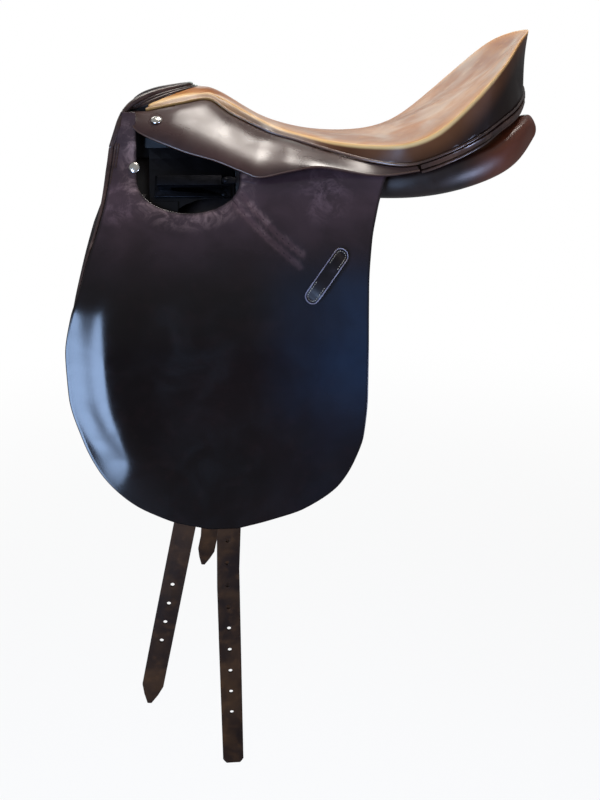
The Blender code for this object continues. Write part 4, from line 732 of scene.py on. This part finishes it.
# Vegetable-tanned lining leather, undyed side inwards
LINING_HIDE = leather(
    "russet_lining_leather", "#160C08", "#26160F", "#3E281B", (0.45, 0.62), 0.06, 16.0, 0.25)
# The points of the tree, their pockets and the lining behind the bar, in black leather kept
# near-black as painted shade, so that the window shows only dark
POCKET_HIDE = leather(
    "black_pocket_leather", "#070505", "#0D0909", "#1B1414", (0.4, 0.6), 0.05, 16.0, 0.2)
# Nickel plate on steel, polished: a warm white metal
NICKEL = metal("polished_nickel_plate", "#E4E1DA", "#C2BEB5", (0.16, 0.3), 0.03)
# Forged carbon steel, blackened and oiled: dull and dark
# Kept near-black also as painted shade, for the shaded window round the stirrup bar.
FORGED = metal("blackened_steel_darkened_as_shade", "#1D1D20", "#0E0E0F", (0.36, 0.55), 0.12)
# Cold-rolled sheet steel, painted black against rust: an even, half matt black
SHEET_STEEL = metal("painted_sheet_steel", "#202224", "#121314", (0.45, 0.62), 0.05, 0.2)
# Spring steel, blued by tempering
SPRING = metal("blued_spring_steel", "#3C4250", "#23262D", (0.28, 0.42))
# Flax webbing, natural, and near-black on the girth webs as painted shade in the window
LINEN = linen("natural_linen_web", "#B7A582", "#857352")
SHADE_DARK_WEB = linen("girth_web_darkened_as_shade", "#2E211A", "#1A120E")
WOOL = wool("flocked_wool", "#DAD2BC", "#B3A88C")
BEECH = beech_plies("laminated_beech")
PALE_THREAD = thread("waxed_pale_thread", "#A79A86", "#6E6152")


def finish_piece(piece, material, body, replaced=(), angle=180):
    """Gives a piece its smooth shading, material and body, and hides the solids that it stands for.
    """
    activate(piece)
    if angle < 180:
        bpy.ops.object.shade_smooth_by_angle(angle=math.radians(angle))
    else:
        bpy.ops.object.shade_smooth()
    piece.data.materials.clear()
    piece.data.materials.append(material)
    if body:
        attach(piece, body)
    if replaced:
        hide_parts(*replaced)


def stitches(name, path, body):
    """A row of saddler's stitches laid along a path."""
    clear_selection()
    bpy.ops.mesh.primitive_uv_sphere_add(segments=6, ring_count=4, radius=THREAD_RADIUS)
    seed = bpy.context.object
    one = points_of(seed) * (1, 1, STITCH_LENGTH / (2 * THREAD_RADIUS))
    faces = [tuple(p.vertices) for p in seed.data.polygons]
    bpy.data.objects.remove(seed)
    line = denser(path, STITCH_PITCH)
    vertices, all_faces = [], []
    for before, after in zip(line, line[1:]):
        turn = Vector(after - before).normalized().to_track_quat("Z", "Y").to_matrix()
        middle = Vector((before + after) / 2)
        all_faces += [tuple(len(vertices) + k for k in face) for face in faces]
        vertices += [middle + turn @ Vector(p) for p in one]
    mesh = bpy.data.meshes.new(name)
    mesh.from_pydata([tuple(v) for v in vertices], [], all_faces)
    piece = add_object(name, mesh)
    finish_piece(piece, PALE_THREAD, body)


# Seat

def mark_top(piece):
    """Marks the top of the seat 1, the rim 0.5 and the side wall 0, from the middle outwards."""
    points = points_of(piece)
    links = [[] for point in points]
    for a, b in (tuple(e.vertices) for e in piece.data.edges):
        if np.linalg.norm(points[a] - points[b]) > 1.25 * SEAT_LEATHER_THICKNESS:
            links[a].append(b)
            links[b].append(a)
    on_rim = [gap < RIM_REACH for gap in distance_to(piece, denser(across_centre(rim), 0.0005))]
    middle = int(np.argmin(np.abs(points - (0, 0, SEAT_LOW)) @ (1, 2, 1)))
    found, front = {middle}, [middle]
    while front:
        nearby = [n for v in front for n in links[v] if n not in found and not on_rim[n]]
        found.update(nearby)
        front = list(set(nearby))
    mark(piece, "top", [0.5 if edge else number in found for number, edge in enumerate(on_rim)])


def close_on_welt(cover):
    """Brings the lower edge of the side wall down onto the welt."""
    shares = np.linspace(0, 1, 500)
    edges = [below_welt(s, 0.0) for s in shares]
    tree = tree_of(edges)
    for vertex in cover.data.vertices:
        side = -1 if vertex.co.y < 0 else 1
        spot, number, gap = tree.find((vertex.co.x, abs(vertex.co.y), vertex.co.z))
        if gap < 1.6 * SEAT_LEATHER_THICKNESS:
            down = below_welt(shares[number], WALL_OVERLAP) - edges[number]
            vertex.co += Vector((down[0], side * down[1], down[2]))


def make_seat_cover():
    cover = merged_copy("seat_cover", "waxed_seat_cover")
    mark_top(cover)
    crease_sharp_edges(cover, 32, 0.55)
    top = [value.value for value in cover.data.attributes["top"].data]
    creases = cover.data.attributes["crease_edge"].data
    for edge, crease in zip(cover.data.edges, creases):
        a, b = edge.vertices
        if top[a] == top[b] == 0.5:
            peak = max(cover.data.vertices[a].co.x, cover.data.vertices[b].co.x)
            crease.value *= monotone(CANTLE_CREASE, peak)
        elif crease.value > 0:
            crease.value = 1.0
    close_on_welt(cover)
    subdivide(cover, 3)
    mark(cover, "rim_gap", distance_to(cover, denser(across_centre(rim), 0.001)))
    finish_piece(cover, SEAT_LEATHER, "saddle", ("seat_cover",))


def make_soft_copy(node, name, levels, material, angle=50, crease=1.0,
                   quads=True, shading=60):
    """A padded, leather or turned piece rounded from its solid."""
    piece = merged_copy(node, name, quads)
    crease_sharp_edges(piece, angle, crease)
    subdivide(piece, levels)
    finish_piece(piece, material, body_of(node), (node,), shading)
    return piece


def make_welts():
    half = [below_welt(s, WELT_ROOM + WELT_RADIUS) for s in np.linspace(0, 1, 97)]
    make_cord("rolled_seat_welt", across_centre(half), WELT_RADIUS, SEAT_CORD, ("seat_welt",))
    start = share_at_x(welt, BAND_FRONT)

    def band_height(share):
        return monotone(((start, 0.0045), (0.9, 0.0055), (1.0, 0.008)), share)

    half = [below_welt(s, SKIRT_SEAM + band_height(s) + WELT_ROOM + WELT_RADIUS)
            for s in np.linspace(start, 1, 61)]
    make_cord("rolled_band_welt", across_centre(half), WELT_RADIUS, TRIM_HIDE, ("band_welt",))


def front_edge_point(z, inset, lift):
    """A point on the flap's front edge, in from it and at a share of the leather's thickness."""
    x = monotone(FLAP_FRONT_EDGE, z) - ROLL_OVERHANG + inset
    return np.array((x, flap_h(x, z) + FLAP_LEATHER * lift, z))


def pommel_line(inset, low_end, lift):
    """A line beside the rolled edge, over the pommel and down the front of both flaps."""
    lower = [front_edge_point(z, inset, lift) for z in np.linspace(low_end, POMMEL_ROLL_JOIN, 30)]
    upper = []
    for s in np.linspace(0.9, 0.0, 45):
        front, back = at(pommel_edge, s), at(pommel_seam, min(1.0, s / 0.75))
        along = np.array([0, 1.0, 0])
        if s:
            along = unit(at(pommel_edge, s + 0.01) - at(pommel_edge, s - 0.01))
        toward = back - front
        upper.append(front + unit(toward - along * np.dot(toward, along)) * inset)
    half = smooth_path(lower[:-3] + upper, 170)
    half[-1, 1] = 0
    return across_centre(half)


def blend_at_fold(piece):
    """Bakes the piece's place into its mesh."""
    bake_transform(piece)


def make_pommel_roll():
    """The rolled edge of the pommel with the piped layers behind it."""
    make_cord("pommel_edge_roll", pommel_line(0.0, BEAD_TOP, 0.5), ROLL_RADIUS, ROLL_HIDE,
              ("pommel_roll",), detail=5)
    for number, (inset, end) in enumerate(zip(PIPED_LAYERS, PIPED_ENDS), 1):
        line = pommel_line(inset, end, 1.0)
        make_cord("pommel_piping_%d" % number, line, PIPING_RADIUS, ROLL_HIDE)


def make_flap_bead(label, side, name, inset, radius, low_end, lift):
    """A cord of the pommel goes on down the front of the flap, ever thinner."""
    heights = np.linspace(BEAD_TOP + 0.002, low_end, 40)
    points = [front_edge_point(z, inset, lift) * (1, side, 1) for z in heights]
    middle = low_end + (BEAD_TOP - low_end) * 0.55
    shares = [monotone(((low_end, 0.3), (middle, 0.55), (BEAD_TOP, 0.96)), z) for z in heights]
    bead = make_cord("flap_%s_%s" % (name, label), points, radius, ROLL_HIDE, (), None, 5, shares)
    blend_at_fold(bead)


def make_bar_lining(label, side):
    """Black lining leather between the rolled edge and the tree, behind the stirrup bar."""
    top, low = smooth_path(BAR_LINING_TOP), smooth_path(BAR_LINING_LOW)
    rows = [[at(top, u) + (at(low, u) - at(top, u)) * w for u in np.linspace(0, 1, 40)]
            for w in np.linspace(0, 1, 16)]
    lining = grid_piece("bar_lining_" + label, np.array(rows) * (1, side, 1))
    add_modifier(lining, "SOLIDIFY", thickness=BAR_LINING_LEATHER, offset=0.0)
    turn_outwards(lining)
    # Near-black, as painted shade behind the stirrup bar.
    finish_piece(lining, POCKET_HIDE, "saddle", angle=50)


# Skirts

def skirt_rows(columns, count):
    """Rows of points over the near skirt's outer face, from the seat's seam to its lower edge."""
    shares = np.linspace(0, share_at_x(welt, SKIRT_REAR), columns - 1)
    top = np.array(seat_space([SKIRT_FRONT_CORNER]) + [below_welt(s, SKIRT_SEAM) for s in shares])
    along = lengths_along(top)
    along /= along[-1]
    low = smooth_path(seat_space(SKIRT_LOW))
    rows = []
    for w in np.linspace(0, 1, count):
        row = []
        for u in np.linspace(0, 1, columns):
            a, b = read_at(top, along, u), at(low, u)
            out = unit(np.array([0, a[2] - b[2], b[1] - a[1]]))
            most = min(SKIRT_SWELL, 0.12 * np.linalg.norm(b - a))
            swell = most * (1 - abs(2 * w - 1) ** 3) * monotone(SKIRT_FULLNESS, u)
            row.append(a + (b - a) * w + out * swell)
        rows.append(row)
    return np.array(rows)


def make_skirt(label, side):
    rows = skirt_rows(90, 36)
    skirt = grid_piece("moulded_skirt_" + label, rows * (1, side, 1))
    if side < 0:
        in_edit_mode(skirt, bpy.ops.mesh.flip_normals)
    add_modifier(skirt, "SOLIDIFY", thickness=SKIRT_LEATHER, offset=-1.0, use_even_offset=True)
    turn_outwards(skirt)
    round_edges(skirt, 0.0011)
    mark(skirt, "edge", distance_to(skirt, denser(rows[-1] * (1, side, 1), 0.001)))
    finish_piece(skirt, SKIRT_HIDE, "saddle", ("skirt_" + label,), 50)


# Flaps

def pressed_in(x, z):
    """How far the stirrup leather has pressed into the flap at a place."""
    most = 0.0
    for line in PRESSED_LINES:
        for (ax, az), (bx, bz) in zip(line, line[1:]):
            length = (bx - ax) ** 2 + (bz - az) ** 2
            share = min(1.0, max(0.0, ((x - ax) * (bx - ax) + (z - az) * (bz - az)) / length))
            gap = math.hypot(x - ax - (bx - ax) * share, z - az - (bz - az) * share)
            most = max(most, math.exp(-(gap / PRESSED_WIDTH) ** 2))
    return PRESSED_DEPTH * most


def flap_row(z, shares):
    """Places at one height, from the front edge to the rear edge."""
    front, rear = monotone(FLAP_FRONT_EDGE, z), monotone(FLAP_REAR_EDGE, z)
    return [(front + (rear - front) * k, z) for k in shares]


def flap_places():
    """Rows of (x, z) places over the whole flap, from its top under the skirt to its lower edge."""
    lowest = FLAP_FRONT_EDGE[-1][0]
    shares = np.linspace(0, 1, FLAP_COLUMNS)
    tops = [monotone(ROOT_TOP, x) for x, z in flap_row(FOLD_HEIGHT, shares)]
    rows = []
    for w in np.linspace(0, 1, ROOT_ROWS, endpoint=False):
        heights = [top + (FOLD_HEIGHT - top) * w for top in tops]
        rows.append([flap_row(z, [k])[0] for k, z in zip(shares, heights)])
    # The rows lie closer together towards the rounded foot
    foot = lowest + (FOLD_HEIGHT - lowest) * 0.4 ** 1.5
    for w in np.linspace(0, 1, FLAP_ROWS):
        if w > 0.6:
            z = lowest + (FOLD_HEIGHT - lowest) * (1 - w) ** 1.5
        else:
            z = FOLD_HEIGHT + (foot - FOLD_HEIGHT) * w / 0.6
        rows.append(flap_row(z, shares))
    return np.array(rows)


def window_share(x, z):
    """Distance from the middle of the window, as a share of its size; it is open at the top."""
    return 2 * math.hypot((x - CUTOUT_X) / CUTOUT_LENGTH, min(0.0, z - CUTOUT_Z) / CUTOUT_HEIGHT)


def border_points(places):
    """Close points along the flap's lower, front and rear edges."""
    edges = np.concatenate((places[-1], places[:, 0], places[:, -1]))
    border = [Vector((x, 0, z)) for x, z in edges]
    return [a.lerp(b, k / 4) for a, b in zip(border, border[1:]) if (b - a).length < BORDER_GAP
            for k in range(4)]


def window_line():
    """Points round the window's edge, which runs straight up from its two ends."""
    half, deep = CUTOUT_LENGTH / 2, CUTOUT_HEIGHT / 2
    low = [(CUTOUT_X + half * math.cos(a), 0, CUTOUT_Z + deep * math.sin(a))
           for a in np.linspace(math.pi, 2 * math.pi, 160)]
    return low + [(x, 0, z) for x in (CUTOUT_X - half, CUTOUT_X + half)
                  for z in np.linspace(CUTOUT_Z, 0.08, 40)]


def open_window(flap):
    """Cuts the window in the flat sheet and draws its edge out to a true ellipse."""
    activate(flap)
    switch("EDIT")
    bpy.ops.mesh.select_all(action="DESELECT")
    bpy.ops.mesh.select_mode(type="VERT")
    switch("OBJECT")
    for vertex in flap.data.vertices:
        vertex.select = window_share(vertex.co.x, vertex.co.z) < WINDOW_CUT
    switch("EDIT")
    bpy.ops.mesh.delete(type="VERT")
    bpy.ops.mesh.select_all(action="SELECT")
    bpy.ops.mesh.region_to_loop()
    switch("OBJECT")
    for vertex in flap.data.vertices:
        share = window_share(vertex.co.x, vertex.co.z)
        vertex.select = vertex.select and share < WINDOW_SNAP
        if vertex.select:
            vertex.co.x = CUTOUT_X + (vertex.co.x - CUTOUT_X) / share
            if vertex.co.z < CUTOUT_Z:
                vertex.co.z = CUTOUT_Z + (vertex.co.z - CUTOUT_Z) / share
    bpy.context.tool_settings.mesh_select_mode = (True, False, False)
    switch("EDIT")
    bpy.ops.mesh.remove_doubles(threshold=0.0014)
    switch("OBJECT")


def make_flap(label, side):
    places = flap_places()
    flap = grid_piece("bridle_leather_flap_" + label, np.insert(places, 1, 0, axis=2))
    open_window(flap)
    window_gap = distance_to(flap, window_line())
    mark(flap, "window_gap", window_gap)
    mark(flap, "edge", np.minimum(window_gap, distance_to(flap, border_points(places))))
    mark(flap, "pressed", [pressed_in(v.co.x, v.co.z) / PRESSED_DEPTH for v in flap.data.vertices])
    for vertex in flap.data.vertices:
        x, z = vertex.co.x, vertex.co.z
        vertex.co = on_flap(x, z, side, -pressed_in(x, z))
    if side < 0:
        in_edit_mode(flap, bpy.ops.mesh.flip_normals)
    add_modifier(flap, "SOLIDIFY", thickness=FLAP_LEATHER, offset=-1.0)
    turn_outwards(flap)
    round_edges(flap, 0.0012)
    replaced = ("flap_root_" + label, "flap_" + label)
    finish_piece(flap, FLAP_HIDE, None, replaced, 50)
    blend_at_fold(flap)


def make_keeper(label, side):
    """The loop on the flap, with a raised pale edge and a row of stitches at both ends."""
    body = "flap_" + label + "_body"
    keeper = make_soft_copy("keeper_" + label, "keeper_loop_" + label, 2, KEEPER_HIDE,
                            angle=60, crease=0.8)
    tilt = math.radians(KEEPER_TILT)
    along, across = (math.cos(tilt), math.sin(tilt)), (math.sin(tilt), -math.cos(tilt))

    def line(inset, first, last):
        """Points on the keeper's face along a line inside its outline, between two turns."""
        half, radius = KEEPER_LENGTH / 2 - inset, KEEPER_WIDTH / 2 - inset
        points = []
        for turn in np.linspace(first, last, 210):
            c, s = math.cos(turn), math.sin(turn)
            reach = (half - radius) * max(-1.0, min(1.0, c * 6)) + radius * c
            x = KEEPER_X + along[0] * reach + across[0] * radius * s
            z = KEEPER_Z + along[1] * reach + across[1] * radius * s
            normal = flap_normal(x, z, side)
            found, spot, facing, face = keeper.ray_cast(on_flap(x, z, side, 0.02), -normal)
            points.append(spot + normal * KEEPER_LIFT if found else on_flap(x, z, side, 0.0))
        return points

    make_cord("keeper_edge_" + label, line(0.0012, 0, 2 * math.pi), 0.0006, EDGE_HIDE, (), body, 2)
    for end, turn in (("upper", 0.0), ("lower", math.pi)):
        row = line(0.0036, turn - 1.5, turn + 1.5)
        stitches("keeper_stitching_%s_%s" % (end, label), row, body)


# Girth straps and metalwork

def make_hard_copy(node, name, material, flat_angle, width, edge_angle):
    """A solid with flat faces, whose edges are rounded a little."""
    piece = merged_copy(node, name, quads=False)
    in_edit_mode(piece, lambda: bpy.ops.mesh.dissolve_limited(angle_limit=math.radians(flat_angle)))
    round_edges(piece, width, edge_angle, 2)
    finish_piece(piece, material, body_of(node), (node,), 40)
    return piece


def make_strap(node, name):
    strap = make_hard_copy(node, name, STRAP_HIDE, 2, 0.0006, 50)
    add_modifier(strap, "WEIGHTED_NORMAL", keep_sharp=True, weight=100)


# Stage, lamps and camera

def white_share(rays):
    """How white a ray finds the background: fully from the camera, in part in mirrors and glass."""
    mirrored = maths("MAXIMUM", rays["Is Glossy Ray"], rays["Is Transmission Ray"])
    return maths("MAXIMUM", rays["Is Camera Ray"], times(mirrored, MIRRORED_WHITE))


def make_stage():
    world = bpy.data.worlds.new("white_studio")
    bpy.context.scene.world = world
    world.use_nodes = True
    background = world.node_tree.nodes["Background"]
    seen = white_share(add_node(background, "LightPath").outputs)
    height = axes_of(add_node(background, "TexCoord").outputs["Generated"])[2]
    room = mixed(fade(height, -0.1, 0.45), "#343436", "#7C7C7E")
    fill(background.inputs["Color"], mixed(seen, room, "#FFFFFF"))

    clear_selection()
    bpy.ops.mesh.primitive_circle_add(vertices=96, radius=FLOOR_RADIUS, fill_type="NGON",
                                      location=(0, 0, FLOOR_HEIGHT))
    floor = bpy.context.object
    floor.name = "pale_floor"
    material, shader, place = new_material(
        "pale_painted_floor", Roughness=0.9, Specular_IOR_Level=0.1)
    rays = add_node(shader, "LightPath").outputs
    fill(shader.inputs["Base Color"], mixed(rays["Is Camera Ray"], "#8C8C8C", "#F4F4F4"))
    distance = add_node(place, "VectorMath", {0: place}, operation="LENGTH").outputs["Value"]
    share = fade(distance, 0.8, FLOOR_RADIUS * 0.9, 0.85, 1.0)
    share = times(share, white_share(rays))
    glow = add_node(shader, "Emission", {"Color": "#FFFFFF", "Strength": 1.0})
    blend = add_node(shader, "MixShader", {0: share, 1: shader.outputs[0], 2: glow.outputs[0]})
    output = material.node_tree.nodes["Material Output"]
    fill(output.inputs["Surface"], blend.outputs[0])
    floor.data.materials.append(material)


# Softboxes: place, point aimed at, width, height, watts, colour and shape
SOFTBOXES = {
    "overhead_softbox": (
        (0.18, 0.34, 1.55), (-0.1, -0.05, 0.0), 0.62, 0.55, 22.0, "#FFF8F0", "RECTANGLE"),
    "front_left_softbox": (
        (-1.05, -1.6, -0.35), (-0.28, -0.19, -0.15), 0.62, 1.9, 66.0, "#A9C8F6", "ELLIPSE"),
    "rear_right_softbox": (
        (1.7, -1.2, -0.75), (0.15, -0.05, 0.0), 0.6, 0.6, 26.0, "#C4D2FC", "ELLIPSE"),
    "rear_softbox": ((0.15, 2.3, 0.95), (0.02, 0.0, 0.08), 1.7, 0.8, 9.0, "#DCF2EC", "RECTANGLE"),
    "off_side_softbox": (
        (-1.3, 2.0, 1.7), (0.0, 0.05, -0.05), 1.6, 1.6, 18.0, "#FFFFFF", "RECTANGLE"),
}


def make_lamps():
    for name, (place, target, width, height, watts, colour, shape) in SOFTBOXES.items():
        lamp = bpy.data.lights.new(name, "AREA")
        lamp.shape = shape
        lamp.size = width
        lamp.size_y = height
        lamp.energy = watts
        lamp.color = linear(colour)[:3]
        holder = add_object(name, lamp)
        holder.location = place
        holder.rotation_euler = (Vector(target) - Vector(place)).to_track_quat("-Z", "Y").to_euler()


# The photograph's camera, worked out from the saddle's outline
CAMERA_PLACE = (-0.16918228, -1.33539817, 0.16959458)
CAMERA_PITCH = 18.1219
CAMERA_YAW = 4.9381
FOCAL_PIXELS = 1100
PHOTO_HEIGHT = 800


def make_camera():
    camera = bpy.data.cameras.new("photo_camera")
    camera.lens = 50
    camera.sensor_fit = "VERTICAL"
    camera.sensor_height = PHOTO_HEIGHT / FOCAL_PIXELS * camera.lens
    holder = add_object("photo_camera", camera)
    holder.location = CAMERA_PLACE
    holder.rotation_euler = (math.radians(90 - CAMERA_PITCH), 0, math.radians(-CAMERA_YAW))
    bpy.context.scene.camera = holder


def dress_solids():
    """The solids that stay get the finish of what they are."""
    # Pockets, cheeks and girth webs are near-black, as painted shade in the window.
    kept = {BEECH: ("tree_plate", "cantle_board"), POCKET_HIDE: ("point_pocket", "tree_cheek"),
            LINEN: ("cross_web", "long_web"), SHADE_DARK_WEB: ("girth_web",),
            SHEET_STEEL: ("head_arch", "head_plate", "gullet_plate"), SPRING: ("spring_strip",)}
    for name, solid in sorted(NODES.items()):
        for material, beginnings in kept.items():
            if name.startswith(beginnings):
                solid.data.materials.clear()
                solid.data.materials.append(material)


make_camera()
make_stage()
make_lamps()
dress_solids()
make_seat_cover()
make_welts()
make_pommel_roll()
make_soft_copy("seat_pad", "wool_seat_pad", 2, WOOL)
for node, name, material, slot in (
        ("rear_band", "cantle_foot_band", TRIM_HIDE, "dark_leather"),
        ("pommel_facing", "pommel_face_leather", TRIM_HIDE, "dark_leather"),
        ("head_lining", "head_lining_leather", LINING_HIDE, "inner_leather"),
        ("channel_lining", "channel_lining_leather", LINING_HIDE, "inner_leather")):
    make_soft_copy(node, name, 2, material, angle=40)
for label, side in SIDES.items():
    make_skirt(label, side)
    make_flap(label, side)
    make_bar_lining(label, side)
    make_flap_bead(label, side, "edge_roll", 0.0, ROLL_RADIUS, ROLL_END, 0.5)
    make_flap_bead(label, side, "piping", PIPED_LAYERS[0], PIPING_RADIUS, PIPING_END, 1.0)
    make_keeper(label, side)
    make_soft_copy("panel_" + label, "flocked_panel_" + label, 3, PANEL_HIDE,
                   crease=0.0)
    make_soft_copy("knee_roll_" + label, "stuffed_knee_roll_" + label, 2, PANEL_HIDE)
    make_soft_copy("sweat_flap_" + label, "soft_sweat_flap_" + label, 2, LINING_HIDE,
                   angle=40)
    for nail in ("skirt_nail_" + label, "flap_nail_" + label):
        make_soft_copy(nail, "domed_" + nail, 2, NICKEL, 55, 0.7, False, 180)
    for end in ("front", "rear"):
        make_strap("billet_" + label + "_" + end, "girth_strap_" + label + "_" + end)

HARDWARE = ("stirrup_bar", "bar_catch", "catch_pin", "bar_rivet", "head_rivet")
for node in sorted(NODES):
    if node.startswith(HARDWARE):
        make_hard_copy(node, "forged_" + node, FORGED, 1, 0.0004, 35)

bpy.context.scene.view_settings.view_transform = "Standard"
bpy.context.view_layer.update()
